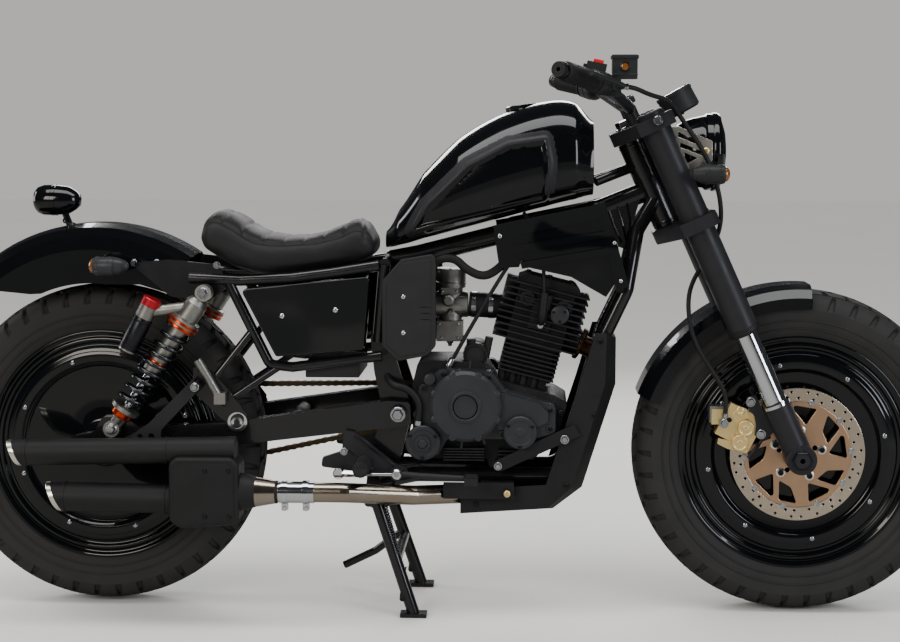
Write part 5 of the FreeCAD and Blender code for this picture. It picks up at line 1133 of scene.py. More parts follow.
addPiece("headlight_lens", turned(lamp["lens"], lampStand, 72), "clearPolycarbonate", "steering", 60)
addScrews("headlight_bracket_screws", domeScrew,
          [(cad(x, side * 80.5, z), (0, side, 0), r) for side in sides
           for x, z, r in ((500, 911, 6.5), (428, 938, 5), (462, 884, 4.5))], "brightGoldAnodised",
          "steering")


def toothedRing(radius, teeth, low, high):
    outline = []
    for step in range(teeth * 4):
        reach = radius + (1.1 if step % 4 in (1, 2) else 0)
        turn = 2 * pi * step / (teeth * 4)
        outline.append((reach * cos(turn), reach * sin(turn)))
    return prism(outline, low, high)


# Indicators: finned bullets with a smoked lens; the rear pair is lensed to the back

bullet = ((12, 0), (16.5, 0.8), (18, 4), (18.2, 38), (16, 48), (12.5, 58), (8, 65), (4.5, 68.5), (0.01, 69))
lensDome = ((14.6, 1), (14, -2.5), (11, -6), (6, -8.2), (0.01, -9))
for name, x, y, z, ahead, body, node in (("front", 530, 152, 868, -1, "steering", "front_indicators"),
                                         ("rear", -677, 148, 690, 1, "chassis", "rear_indicators")):
    shells, lenses = [], []
    for side in sides:
        stand = standing(cad(x, side * y, z), (ahead, 0, 0))
        shells += [turned(bullet, stand, 40), placed(toothedRing(17.6, 26, 6, 11), stand),
                   placed(toothedRing(17.6, 26, 30, 33), stand)]
        lenses.append(turned(lensDome, stand, 36))
        if name == "front":
            shells.append(swept([cad(494, side * 80.9, 884), cad(494, side * 118, 880),
                                 cad(494, side * 150, 872)], 5.6, 18))
        else:
            shells.append(swept([cad(-640, side * 128, 694), cad(-640, side * 148, 692)], 6, 18))
    addPiece(name + "_indicator_bodies", shells, "mouldedPlastic" if name == "front" else "dieCastPainted",
             body, 36)
    addPiece(name + "_indicator_lenses", lenses, "smokedAmberLens", body, 60)
print("controls, gauge and front lamps made")

# Seat: a padded form swollen by a short cloth run, then sewn channels and seams

seat = {
    # x, underside, crown in millimetres
    "stations": ((-475, 738, 758), (-470, 722, 780), (-448, 707, 794), (-420, 688, 783), (-372, 674, 750),
                 (-316, 675, 739), (-256, 682, 743), (-206, 689, 761), (-178, 694, 776), (-158, 700, 768),
                 (-141, 712, 742)),
    "halfWide": ((-500, 96), (-470, 116), (-380, 117), (-250, 97), (-130, 84)),
    "rows": 70, "columns": 72, "voxelMm": 5, "pressure": 4, "frames": 14, "capMm": 4,
    "channel": {"from": -430, "to": -198, "count": 7, "deepMm": 3.4, "wideMm": 3.4},
    "seam": {"share": 0.84, "deepMm": 3.0, "wideMm": 3.8, "noseAt": -168}, "bowMm": 5,
    "stitch": {"everyMm": 5.5, "halfMm": 1.7, "radiusMm": 0.45, "besideMm": 4.6},
}


def between(rows, x):
    # the second column at x, eased from row to row
    for first, last in zip(rows, rows[1:]):
        if x <= last[0]:
            break
    return first[1] + (last[1] - first[1]) * easing((x - first[0]) / (last[0] - first[0]))


def seatForm():
    rows, columns = seat["rows"], seat["columns"]
    first, last = seat["stations"][0][0], seat["stations"][-1][0]
    points = []
    for row in range(rows + 1):
        x = first + (last - first) * row / rows
        low, crown = smoothRow(seat["stations"], x)
        ends = min(1, sin(pi * min(0.5, 6 * min(row, rows - row) / rows + 0.2)))
        half = between(seat["halfWide"], x) * (0.72 + 0.28 * ends)
        middle = low + (crown - low) * 0.42
        for column in range(columns):
            turn = 2 * pi * column / columns
            c, s = cos(turn), sin(turn)
            y = half * copysign(abs(c) ** 0.62, c)
            high, power = (crown - middle, 0.85) if s > 0 else (middle - low, 0.4)
            z = middle + high * copysign(abs(s) ** power, s)
            points.append(cad(x, y, z))
    return skinned(points, columns)


def swollen(shape):
    # remeshed, blown up like a filled cover, held to a few millimetres, and divided once
    mesh = bpy.data.meshes.new("seatCover")
    mesh.from_pydata([tuple(point) for point in shape[0]], [], shape[1])
    holder = newObject("seatCover", mesh)
    remesh = holder.modifiers.new("even", "REMESH")
    remesh.mode, remesh.voxel_size = "VOXEL", seat["voxelMm"] / 1000
    even = settledMesh(holder)
    holder.modifiers.clear()
    holder.data = even
    rest = [vertex.co.copy() for vertex in even.vertices]
    cloth = holder.modifiers.new("cover", "CLOTH")
    cloth.settings.use_pressure = True
    cloth.settings.uniform_pressure_force = seat["pressure"]
    cloth.settings.effector_weights.gravity = 0
    for number in range(1, seat["frames"] + 1):
        bpy.context.scene.frame_set(number)
    blown = settledMesh(holder)
    moved = [vertex.co.copy() for vertex in blown.vertices]
    holder.modifiers.clear()
    bpy.context.scene.frame_set(1)
    for vertex, before, after in zip(even.vertices, rest, moved):
        step = after - before
        vertex.co = before + step * min(1, seat["capMm"] / 1000 / max(step.length, 1e-9))
    finer = holder.modifiers.new("finer", "SUBSURF")
    finer.levels = finer.render_levels = 1
    fine = settledMesh(holder)
    shape = shapeOf(fine)
    bpy.data.objects.remove(holder)
    for used in (mesh, even, fine):
        bpy.data.meshes.remove(used)
    return shape


def channelLines():
    # where the cross channels lie, x in millimetres
    look = seat["channel"]
    return [look["from"] + (look["to"] - look["from"]) * n / (look["count"] - 1)
            for n in range(look["count"])]


def sewn(points):
    # presses the cross channels, the panel's edge seams and the nose seam into the cover
    channel, seam, stations = seat["channel"], seat["seam"], seat["stations"]
    lines, moved = channelLines(), []
    for point in points:
        x, y, z = point.x * 1000, point.y * 1000, point.z * 1000
        half = between(seat["halfWide"], x) * seam["share"]
        low, crown = smoothRow(stations, max(stations[0][0], min(stations[-1][0], x)))
        upper = easing((z - low - (crown - low) * 0.40) / 12)
        # the channels bow a little and fade out at the seam
        panel = easing((half + 1 - abs(y)) / 7) * upper
        bowed = x + seat["bowMm"] * (y / half) ** 2
        press = 0.0
        for line in lines:
            press += channel["deepMm"] * exp(-((bowed - line) / channel["wideMm"]) ** 2)
        edge = seam["deepMm"] * exp(-((abs(y) - half) / seam["wideMm"]) ** 2) * upper
        nose = seam["deepMm"] * exp(-((x - seam["noseAt"] - 0.10 * abs(y)) / seam["wideMm"]) ** 2) * upper
        fall = (press * panel + max(edge, nose)) / 1000
        out = Vector((0, y * 0.35, z - low - 30)).normalized()
        moved.append(point - out * fall)
    return moved


coverPoints, coverFaces = swollen(seatForm())
seatCover = addPiece("seat_cover", (sewn(coverPoints), coverFaces), "waxedLeather", "chassis",
                     80, 0.0, ("seat",))
skin = BVHTree.FromPolygons(*shapeOf(seatCover.data))


def stitched(line):
    # thread stitches laid on the cover below a line of (x, y) in millimetres
    made = []
    for (x1, y1), (x2, y2) in zip(line, line[1:]):
        place, normal = skin.ray_cast(mm((x1 + x2) / 2, (y1 + y2) / 2, 900), (0, 0, -1))[:2]
        if place is not None:
            ahead = Vector((x2 - x1, y2 - y1, 0))
            ahead = (ahead - normal * ahead.dot(normal)).normalized() * (seat["stitch"]["halfMm"] / 1000)
            # both ends dip into the leather
            bent = [place - ahead - normal * 0.0002, place + normal * 0.0003,
                    place + ahead - normal * 0.0002]
            made.append(swept(bent, seat["stitch"]["radiusMm"], 5))
    return made


stitches = []
for side in sides:
    for shift in (-seat["stitch"]["besideMm"], seat["stitch"]["besideMm"]):
        stitches += stitched([(x, side * (between(seat["halfWide"], x) * seat["seam"]["share"] + shift))
                              for x in (-452 + seat["stitch"]["everyMm"] * n for n in range(50))])
for line in channelLines():
    half = between(seat["halfWide"], line) * seat["seam"]["share"] - 5
    steps = int(2 * half / seat["stitch"]["everyMm"])
    stitches += stitched([(line + 3.8 - seat["bowMm"] * (1 - 2 * m / steps) ** 2, half * (2 * m / steps - 1))
                          for m in range(steps + 1)])
addPiece("seat_stitching", stitches, "waxedThread", "chassis", 60)
print("seat sewn:", len(coverPoints), "points")

# Tank dressing: the satin band round each recess, and the filler cap

bandLook = {"wideMm": 19, "proudMm": 0.5, "from": -92, "columns": 120, "columnMm": 2.6, "rows": 90,
            "rowDegrees": 0.85}
bandPoints, bandFaces = [], []
for side in sides:
    grid = {}
    for i in range(bandLook["columns"]):
        for j in range(bandLook["rows"]):
            x = bandLook["from"] + i * bandLook["columnMm"]
            y, z = tankPoint(x, radians(90 + side * (j * bandLook["rowDegrees"] - 128)))
            depth = outlineDistance(x, z, tank["recess"])
            if -bandLook["wideMm"] < depth < 1.5:
                grid[i, j] = len(bandPoints)
                bandPoints.append(cad(x, y + side * bandLook["proudMm"], z + 0.2))
    for (i, j), index in grid.items():
        if (i + 1, j) in grid and (i, j + 1) in grid and (i + 1, j + 1) in grid:
            bandFaces.append((index, grid[i + 1, j], grid[i + 1, j + 1], grid[i, j + 1]))
addPiece("tank_recess_bands", (bandPoints, bandFaces), "satinPowderAlloy", "chassis", 60)
capStand = standing(cad(150, 0, 997), (-0.12, 0, 1))
addPiece("fuel_cap",
         turned(((37, -8), (37, 1.2), (34, 3.4), (29, 3.6), (28, 2.2), (14, 2.6), (12, 4.0), (0.01, 4.2)),
                capStand, 64), "polishedLacquer", "chassis", 34)
addScrews("fuel_cap_screws", capScrew,
          [(capStand @ mm(32 * cos(t), 32 * sin(t), 2.2), (0, 0, 1), 1.9)
           for t in (0.3, 1.35, 2.4, 3.44, 4.49, 5.53)], "zincPlatedSteel", "chassis")

# Screws of the side boxes, air covers and shrouds, and the ribbed air cover panels

boxScrews = []
for side in sides:
    boxScrews += [(cad(-317, side * 118, 592), (0, side, 0), 5.4),
                  (cad(-213, side * 118, 604), (0, side, 0), 5.4),
                  (cad(-80, side * 134, 632), (0, side, 0), 4.6),
                  (cad(-80, side * 134, 562), (0, side, 0), 4.6),
                  (cad(105, side * 113, 748), (0, side, 0), 4.6),
                  (cad(325, side * 108, 735), (0, side, 0), 4), (cad(300, side * 108, 798), (0, side, 0), 4),
                  (cad(338, side * 108, 662), (0, side, 0), 4)]
addScrews("panel_screws", domeScrew, boxScrews, "hardChrome", "chassis")
ribs = []
for side in sides:
    for z in (612, 600, 588):
        ribs.append(brick((24, 2.4, 3.4), (-36, side * 134, z)))
    ribs.append(placed(cadPlate(((-112, 655), (-112, 538), (-86, 516), (-38, 525), (-27, 540), (-27, 705),
                                 (-82, 696)), -1.0, 1.0), Matrix.Translation(mm(0, side * 134.2, 0))))
addPiece("air_cover_panels", ribs, "mouldedPlastic", "chassis", 32, 0.9)
print("tank, boxes and covers dressed")

# Engine: cover screws, clutch ring, caps, plug lead, carburettor and exhaust flange

engine = {"foot": cad(150, 0, 451), "lean": radians(14.4), "face": {-1: 114, 1: 106}, "bossMm": 8.5,
          "coverScrews": ((-52, 333), (-30, 333), (14, 364), (62, 362), (112, 362), (160, 365), (204, 374),
                          (204, 411), (160, 426), (112, 440), (84, 474), (38, 480), (-4, 480),
                          (-42, 452), (-54, 400))}


def onCylinder(ahead, across, up):
    # millimetres from the cylinder's foot, along the leaning barrel
    lean = engine["lean"]
    return engine["foot"] + mm(ahead * cos(lean) + up * sin(lean), across,
                               -ahead * sin(lean) + up * cos(lean))


def screwBoss(x, z, side):
    radius = engine["bossMm"]
    return turned(((radius + 1, -10), (radius, 1.5), (radius - 1, 2.4), (0.01, 2.4)),
                  across(cad(x, side * engine["face"][side], z), side), 20)


def clutchShape(side, x, z, start):
    parts = [turned(((31, -2), (31, 1.6), (29.6, 2.4), (25.6, 2.4), (24.2, 1.6), (24.2, -2)),
                    across(cad(x, start, z), side), 56, True)]
    for step in range(8):
        turn = 2 * pi * (step + 0.5) / 8
        parts.append(turned(((7.5, -24), (7.2, 2.5), (5.4, 3.6), (0.01, 3.6)),
                            across(cad(x + 65 * cos(turn), start + side * -7, z + 65 * sin(turn)), side),
                            18))
    return parts


castings = clutchShape(-1, 40, 420, -145) + clutchShape(1, 70, 410, 134)
screws = []
for side in sides:
    for x, z in engine["coverScrews"]:
        castings.append(screwBoss(x, z, side))
        screws.append((cad(x, side * (engine["face"][side] + 2.2), z), (0, side, 0), 4.4))
for x, z, radius, face in ((146, 369, 31, 134), (-43, 347, 33, 130)):
    castings.append(turned(((radius + 1.4, -5), (radius + 1.4, -1), (radius - 1, 1.4), (radius - 7, 1.4),
                            (radius - 8, 0.4), (9, 0.4), (8, 1.8), (0.01, 2)),
                           across(cad(x, -face, z), -1), 44))
    screws += [(cad(x + (radius - 4) * cos(t), -face - 1.2, z + (radius - 4) * sin(t)), outRight, 3.4)
               for t in (0.5, 2.6, 4.7)]
castings.append(turned(((13, -6), (13, 0), (11.5, 5), (11.5, 9), (9, 10), (0.01, 10)),
                       across(cad(-30, -114, 470), -1), 12))
castings.append(turned(((10, -2), (10, 3), (8, 6), (0.01, 6)), across(cad(-43, -138, 347), -1), 6))
# ribs cast round the clutch housing
for turn in (20, 52, 84, 116, 200, 232, 264, 296):
    rib = placed(brick((16, 4, 3), (78, 0, 0)), Matrix.Rotation(radians(turn), 4, "Z"))
    castings.append(placed(rib, across(cad(40, -114, 420), -1)))
# head: rocker caps, cover screws and a bolt row in the fins
for ahead, up in ((-34, 168), (40, 168)):
    castings.append(turned(((17, -6), (17, 3), (14, 6), (8, 6), (7, 4), (0.01, 4)),
                           standing(onCylinder(ahead, -50, up), (0, -1, 0)), 30))
castings.append(turned(((18.5, 0), (18.5, 2.5), (15, 4.5), (0.01, 4.5)),
                       standing(onCylinder(34, -70, 154), (0, -1, 0)), 30))
screws += [(onCylinder(34 + 13 * cos(t), -74.2, 154 + 13 * sin(t)), outRight, 2.6) for t in (0.8, 2.9, 5.0)]
screws += [(onCylinder(ahead, out, 212), onCylinder(0, 0, 1) - onCylinder(0, 0, 0), 5)
           for ahead in (-44, 0, 44) for out in (-38, 38)]
screws += [(onCylinder(ahead, side * 46, 20.5), (0, side, 0), 6) for ahead in (-46, 46) for side in sides]
addPiece("engine_castings", castings, "dieCastPainted", "chassis", 34, 0.7)
addScrews("engine_screws", capScrew, screws, "blackOxideSteel", "chassis")
# spark plug, its boot and the lead up under the tank
plug = [turned(((9, 0), (9, 8), (6, 10), (6, 18), (0.01, 18)),
               standing(onCylinder(2, -58, 128), (0, -1, -0.2)), 6)]
addPiece("spark_plug_hex", plug, "zincPlatedSteel", "chassis", 30)
boot = swept(rounded([onCylinder(2, -66, 128), onCylinder(2, -86, 140), onCylinder(-6, -84, 190)], 0.02),
             8, 20)
addPiece("spark_plug_boot", boot, "mouldedRubber", "chassis", 40)
routedTube("spark_plug_lead",
           [onCylinder(-6, -84, 186), onCylinder(-20, -80, 240), cad(184, -40, 740), cad(150, -30, 790)],
           3.6, "chassis")
# carburettor: cap ring, bowl screws, idle screw, drain and the two clamp bands
silver = [turned(((31, -4), (31, 0), (28, 2), (0.01, 2)), standing(cad(5, -6, 650), (0, 0, 1)), 40),
          turned(((26, 0), (26, 5), (0.01, 5)), standing(cad(5, -6, 560), (0, 0, 1)), 40),
          turned(((12, 0), (12, 9), (8, 12), (0.01, 12)), across(cad(2, -30, 616), -1), 24),
          turned(((8, 0), (8, 5), (5, 6), (5, 12), (0.01, 12)), across(cad(6, -30, 590), -1), 6),
          placed(brick((34, 5, 14), (0, 0, 0)), Matrix.Translation(cad(4, -29, 634))),
          turned(((7, 0), (7, 5), (4, 7), (4, 12), (0.01, 12)), standing(cad(4, -6, 534), (0, 0, -1)), 20)]
bright = [(cad(5 + x, -6 + y, 678), (0, 0, 1), 3) for x, y in ((-22, 0), (22, 0), (0, -22), (0, 22))]
bright += [(cad(x, -32, z), outRight, 3)
           for x, z in ((-16, 568), (22, 568), (-12, 541), (20, 541), (-10, 634), (18, 634))]
addPiece("carburettor_fittings", silver, "dieCastAluminium", "chassis", 32, 0.6)
addScrews("carburettor_screws", domeScrew, bright, "zincPlatedSteel", "chassis")
bands = [hoseClip(cad(x, -6, z), (1, 0, -0.05), 25) for x, z in ((52, 605.6), (86, 603.6))]
bands.append(turned(((24.2, -4), (25.6, -4), (25.6, 4), (24.2, 4)), across(cad(57, -30, 511), -1), 36, True))
addPiece("intake_bands", bands, "zincPlatedSteel", "chassis", 32)
# exhaust flange and the scorched header over the tube's first run
flangeLine = (cad(295, -14, 515) - cad(250, -14, 536)).normalized()
flange = [turned(((21, -3), (32, -3), (33, 0), (32, 5), (26, 7), (21, 7)),
                 standing(cad(262, -14, 530), flangeLine), 36, True)]
for shiftY in (-29, 29):
    flange.append(placed(hexScrew(5.5), standing(cad(266, -14 + shiftY, 528), flangeLine)))
headerRun = rounded([cad(264, -14, 529), cad(295, -14, 515), cad(290, -18, 420), cad(272, -19, 362)],
                    0.03, 10)
addPiece("exhaust_header_scorched", swept(headerRun, 19.4, 28), "scorchedSteel", "chassis",
         40)
addPiece("exhaust_flange", flange, "scorchedSteel", "chassis", 30)
print("engine dressed")

# Screws seated on the CAD faces that they clamp

nodeSkins = {}


def seated(node, x, z, side):
    # the outermost point of a node at a place in side view
    if node not in nodeSkins:
        nodeSkins[node] = BVHTree.FromPolygons(*shapeOf(frame["nodes"][node].data))
    return nodeSkins[node].ray_cast(cad(x, side * 500, z), (0, -side, 0))[0]


def seatedScrews(name, kind, rows, finish, both=True):
    found = []
    for side in sides if both else sides[:1]:
        for node, x, z, radius in rows:
            place = seated(node, x, z, side)
            if place is not None:
                found.append((place, (0, side, 0), radius))
    addScrews(name, kind, found, finish, "chassis")


seatedScrews("frame_bright_screws", hexScrew, (
    ("swingarm", -91, 403, 11), ("rear_mudguard", -566, 693, 5), ("rear_mudguard", -610, 693, 5),
    ("frame_subframe", -446, 689, 5.5)), "zincPlatedSteel")
seatedScrews("frame_dark_screws", capScrew,
             (("frame_subframe", -455, 464, 5), ("frame_subframe", -430, 422, 5),
              ("skid_plate", 300, 545, 4.5), ("skid_plate", 290, 400, 4.5), ("skid_plate", 236, 262, 4.5),
              ("skid_plate", 60, 222, 4.5), ("engine_case", 225, 400, 6), ("frame_cradle", -120, 520, 5)),
             "blackOxideSteel")
seatedScrews("right_side_screws", hexScrew,
             (("skid_plate", 103, 301, 6), ("skid_plate", 232, 354, 6.5), ("muffler_hanger", -481, 458, 6.5),
              ("foot_levers", -92, 291, 7), ("footpegs", -92, 330, 6), ("footpegs", -196, 330, 5.5)),
             "zincPlatedSteel", both=False)
seatedScrews("rail_gold_screw", domeScrew, (("skid_plate", 121, 250, 7),), "brightGoldAnodised",
             both=False)

# Shock absorbers: coil, preload rings, rod, adjuster, eye bolts and piggyback reservoir

shock = {"top": (-464, 142, 639), "foot": (-648, 142, 373), "coilRadius": 25, "wire": 4.4, "turns": 8.5,
         "from": 84, "to": 266,
         "preload": (((24, 66), (31, 67), (31.8, 69), (31.8, 72), (24, 73)),
                     ((24, 75), (31, 76), (31.8, 78), (31.8, 82), (24, 83))),
         "adjuster": ((12, 276), (20, 277), (22, 280), (22, 291), (19, 295), (12, 296)),
         "rod": ((8.2, 190), (8.2, 268)),
         "bumper": ((9, 170), (15, 172), (12.5, 178), (15, 184), (12, 190), (9, 192))}


def coilLine(start, end, radius, turns, steps=22):
    # an even helix between two points, with closed turns at its ends
    axis = (end - start).normalized()
    side = axis.orthogonal().normalized()
    other = axis.cross(side)
    line = []
    for step in range(int(turns * steps) + 1):
        share = step / (turns * steps)
        turn = 2 * pi * turns * share
        rise = share + 0.012 * sin(2 * pi * share)
        line.append(start.lerp(end, rise) + (side * cos(turn) + other * sin(turn)) * radius / 1000)
    return line


coils, orangeParts, rods, bumpers, reds, sleeves, eyes = [], [], [], [], [], [], []
for side in sides:
    top, foot = [cad(x, side * y, z) for x, y, z in (shock["top"], shock["foot"])]
    axis = (foot - top).normalized()
    stand = standing(top, axis)
    coils.append(swept(coilLine(top + axis * shock["from"] / 1000, top + axis * shock["to"] / 1000,
                                shock["coilRadius"], shock["turns"]), shock["wire"], 12))
    orangeParts += [turned(ring, stand, 40, True) for ring in shock["preload"]]
    orangeParts += [turned(shock["adjuster"], stand, 12),
                    turned(((19.4, 160), (20.4, 162), (20.4, 168), (19.4, 170), (0.01, 170)), stand, 36)]
    rods.append(turned(shock["rod"], stand, 28))
    bumpers.append(turned(shock["bumper"], stand, 28))
    upper, lower = top + mm(-98, side * 8, -12), top + mm(-150, side * 8, -112)
    canStand = standing(upper, lower - upper)
    reds.append(turned(((12, -1.5), (17.5, -1.2), (19.2, 1), (19.2, 14), (18.2, 15.5), (0.01, 15.5)),
                       canStand, 14))
    sleeves.append(turned(((18.6, 40), (19, 41), (19, 108), (18.6, 109)), canStand, 40))
    sleeves += [turned(((18.9, z), (20, z + 0.6), (20, z + 3), (18.9, z + 3.6)), canStand, 40)
                for z in (46, 98)]
    for place, radius in ((top, 8), (foot, 8.5)):
        outer = seated("shock_bodies", place.x * 1000 + drawing["ahead"], place.z * 1000 + drawing["up"],
                       side) or place + mm(0, side * 20, 0)
        eyes.append((outer + mm(0, side * 0.1, 0), (0, side, 0), radius))
addPiece("shock_coils", coils, "drawnSpringWire", "chassis", 60, 0.0, ("shock_springs",))
addPiece("shock_orange_rings", orangeParts, "orangeAnodised", "chassis", 34, 0.4)
addPiece("shock_rods", rods, "hardChrome", "chassis", 40)
addPiece("shock_bumpers", bumpers, "mouldedRubber", "chassis", 50)
addPiece("shock_red_caps", reds, "redAnodised", "chassis", 30, 0.5)
addPiece("shock_reservoir_sleeves", sleeves, "blackOxideSteel", "chassis", 40)
addScrews("shock_eye_bolts", hexScrew, eyes, "zincPlatedSteel", "chassis")
print("shock absorbers made")

# Chain and sprockets: rollers and paired plates round both wheels, sprocket screws, axle nuts

chain = {"rear": (-686.7, 325, 102), "front": (-40, 400, 36.5), "place": 77, "pitch": 16.1,
         "roller": 4.8, "plateHigh": 5.6, "plateThick": 1.5, "innerHalf": 4.1}


def chainLoop():
    # evenly spaced pins along both runs and round both sprockets
    (x1, z1, r1), (x2, z2, r2) = chain["rear"], chain["front"]
    span = hypot(x2 - x1, z2 - z1)
    tilt, wrap = atan2(z2 - z1, x2 - x1), acos((r1 - r2) / span)
    line = []
    for step in range(61):
        turn = tilt + wrap - (2 * wrap) * step / 60
        line.append((x2 + r2 * cos(turn), z2 + r2 * sin(turn)))
    for step in range(91):
        turn = tilt - wrap - (2 * pi - 2 * wrap) * step / 90
        line.append((x1 + r1 * cos(turn), z1 + r1 * sin(turn)))
    line.append(line[0])
    lengths = [dist(a, b) for a, b in zip(line, line[1:])]
    count = 2 * round(sum(lengths) / chain["pitch"] / 2)
    pitch, pins, run, number = sum(lengths) / count, [], 0.0, 0
    for step in range(count):
        while run + lengths[number] < step * pitch:
            run += lengths[number]
            number += 1
        share = (step * pitch - run) / lengths[number]
        pins.append(tuple(a + (b - a) * share for a, b in zip(line[number], line[number + 1])))
    return pins


def linkPlate(first, last, low, high):
    turn = atan2(last[1] - first[1], last[0] - first[0])
    span, r = dist(first, last), chain["plateHigh"]
    outline = [(r * cos(a), r * sin(a)) for a in [pi / 2 + pi * n / 6 for n in range(7)]]
    outline.append((span / 2, -r * 0.72))
    outline += [(span + r * cos(a), r * sin(a)) for a in [-pi / 2 + pi * n / 6 for n in range(7)]]
    outline.append((span / 2, r * 0.72))
    c, s = cos(turn), sin(turn)
    return cadPlate([(first[0] + x * c - z * s, first[1] + x * s + z * c) for x, z in outline], low, high)


pins, links = chainLoop(), []
for number, pin in enumerate(pins):
    place = cad(pin[0], chain["place"], pin[1])
    links.append(turned(((chain["roller"], -3.9), (chain["roller"], 3.9)), across(place, 1), 12))
    links.append(turned(((2.2, -7), (2.4, -6.6), (2.4, 6.6), (2.2, 7)), across(place, 1), 8))
    half = chain["innerHalf"] + (chain["plateThick"] + 0.2 if number % 2 else 0)
    for side in sides:
        low, high = sorted((chain["place"] + side * half,
                            chain["place"] + side * (half + chain["plateThick"])))
        links.append(linkPlate(pin, pins[(number + 1) % len(pins)], low, high))
addPiece("chain_links", links, "oiledChainSteel", bodyOf["chain"], 40, 0.0, ("chain",))
sprocketScrews = [(rearHub + mm(42 * cos(t), 80.6, 42 * sin(t)), outLeft, 6)
                  for t in (pi / 3 * n + 0.5 for n in range(6))]
addScrews("sprocket_screws", hexScrew, sprocketScrews, "zincPlatedSteel", bodyOf["rear_sprocket"])
rearNuts = [turned(fork["nut"], across(rearHub + mm(0, side * 137.4, 0), side), 6, True) for side in sides]
addPiece("rear_axle_nuts", rearNuts, "zincPlatedSteel", bodyOf["rear_axle"], 30, 0.5)
print("chain linked:", len(pins), "pins")

# Muffler: two slash-cut barrels in a boxed collector, bright lips, inlet cone and clamps

muffler = {"barrels": (((-396, 344), (-838, 334), 25, 0.40), ((-470, 246), (-765, 250), 28, 0.46)),
           "across": -200,
           "box": ((-386, 214), (-400, 204), (-500, 196), (-520, 210), (-520, 322), (-508, 334), (-400, 334),
                   (-386, 322)), "boxHalf": 38,
           "cone": ((20.4, 0), (22, 1.5), (22.4, 14), (25, 30), (30, 46), (35, 60), (36.5, 74))}


def slashed(start, end, radius, lean, profile, ring, count=64):
    # a lathed form whose far end is cut on a slant, top edge furthest back
    axis = (end - start).normalized()
    points, faces = turned(profile, standing(start, axis), count, ring)
    length = (end - start).length
    for point in points:
        along = (point - start).dot(axis)
        if along > length - 0.02:
            middle = start + axis * along
            point -= axis * (radius / 1000 - (point.z - middle.z)) * lean
    return points, faces


shells, lips = [], []
for (x1, z1), (x2, z2), radius, lean in muffler["barrels"]:
    start, end = cad(x1, muffler["across"], z1), cad(x2, muffler["across"], z2)
    long = (end - start).length * 1000
    shells.append(slashed(start, end, radius, lean,
                          ((radius, 0), (radius, long - 22), (radius, long - 8), (radius - 3, long - 8),
                           (radius - 4, long - 16), (radius - 4, long - 90), (0.01, long - 90)), False))
    lips.append(slashed(start, end, radius, lean,
                        ((radius - 3.2, long - 9), (radius + 0.5, long - 9.5), (radius + 0.5, long - 1.5),
                         (radius - 0.6, long), (radius - 3.2, long)), True))
    for band in (long - 40, 130 if radius < 26 else 60):
        shells.append(turned(((radius - 1, band), (radius + 1.3, band + 0.5), (radius + 1.3, band + 5),
                              (radius - 1, band + 5.5)), standing(start, end - start), 56, True))
boxLow, boxHigh = muffler["across"] - muffler["boxHalf"], muffler["across"] + muffler["boxHalf"]
addPiece("muffler_box", cadPlate(muffler["box"], boxLow, boxHigh), "heatPaintedSheet", "chassis",
         34, 7)
inset = [(-452 + (x + 452) * 0.86, 266 + (z - 266) * 0.86) for x, z in muffler["box"]]
shells.append(cadPlate(inset, boxLow - 1.2, boxLow + 4))
shells.append(turned(muffler["cone"], standing(cad(-316, muffler["across"], 262), (-1, 0, 0)), 56))
addPiece("muffler_barrels", shells, "heatPaintedSheet", "chassis", 34, 0.0, ("muffler",))
addPiece("muffler_lips", lips, "brushedAluminium", "chassis", 40)
addScrews("muffler_box_screws", hexScrew,
          [(cad(x, boxLow - 1.1, z), outRight, 3.6)
           for x, z in ((-449, 309), (-450, 222), (-404, 309), (-404, 222))], "blackOxideSteel",
          "chassis")
clampParts = [turned(((19.3, -34), (20.6, -34), (20.6, 34), (19.3, 34)),
                     standing(cad(-280, muffler["across"], 262), (1, 0, 0)), 44, True)]
for x in (-303, -262):
    clampParts.append(turned(((20.4, -6), (22.6, -6), (22.6, 6), (20.4, 6)),
                             standing(cad(x, muffler["across"], 262), (1, 0, 0)), 44, True))
    clampParts += [brick((12, 5, 15), (x - drawing["ahead"], muffler["across"] + y, 235))
                   for y in (-4.5, 4.5)]
    clampParts.append(placed(hexScrew(4), across(cad(x, muffler["across"] - 7, 232), -1)))
addPiece("exhaust_clamps", clampParts, "hardChrome", "chassis", 34, 0.4)
print("muffler made")

# Stand springs, stop, peg rubbers, tail lamp, wires and weld beads

standCoils = []
for shiftY in (-7, 7):
    upper, lower = cad(-120, -104 + shiftY, 214), cad(-95, -112 + shiftY, 126)
    standCoils.append(swept(coilLine(upper, lower, 5.2, 17, 10), 1.3, 6))
    standCoils.append(swept([upper + mm(3, 0, 12), upper + mm(0, 0, -2)], 1.4, 8))
    standCoils.append(swept(rounded([lower + mm(0, 0, 2), lower + mm(4, 0, -30), lower + mm(10, 4, -40),
                                     lower + mm(18, 4, -32)], 0.008), 1.6, 8))
addPiece("stand_springs", standCoils, "drawnSpringWire", bodyOf["centre_stand"], 60)
stops = [turned(((11, 0), (12, 1), (12, 12), (9, 15), (0.01, 15)),
                standing(cad(-74, side * 118, 40), (-0.9, 0, 0.1)), 24) for side in sides]
addPiece("stand_rubber_stops", stops, "mouldedRubber", bodyOf["centre_stand"], 34)
pegs = []
for side in sides:
    profile = [(13, 148)]
    for rib in range(11):
        foot = 150 + rib * 6
        profile += [(13.6, foot), (15.2, foot + 0.8), (15.2, foot + 3.8), (13.6, foot + 4.6)]
    pegs.append(turned(profile + [(15.4, 217), (15.4, 220), (13, 221)], across(cad(-156, 0, 310), side), 28))
pedal = brick((28, 26, 3), (53, -181, 290.5))
treads = [brick((22, 2.4, 2.4), (53, -192 + n * 5.5, 292.6)) for n in range(5)]
addPiece("peg_rubbers", pegs, "mouldedRubber", "chassis", 40)
addPiece("pedal_tread", [pedal] + treads, "mouldedRubber", "chassis", 32, 0.6)
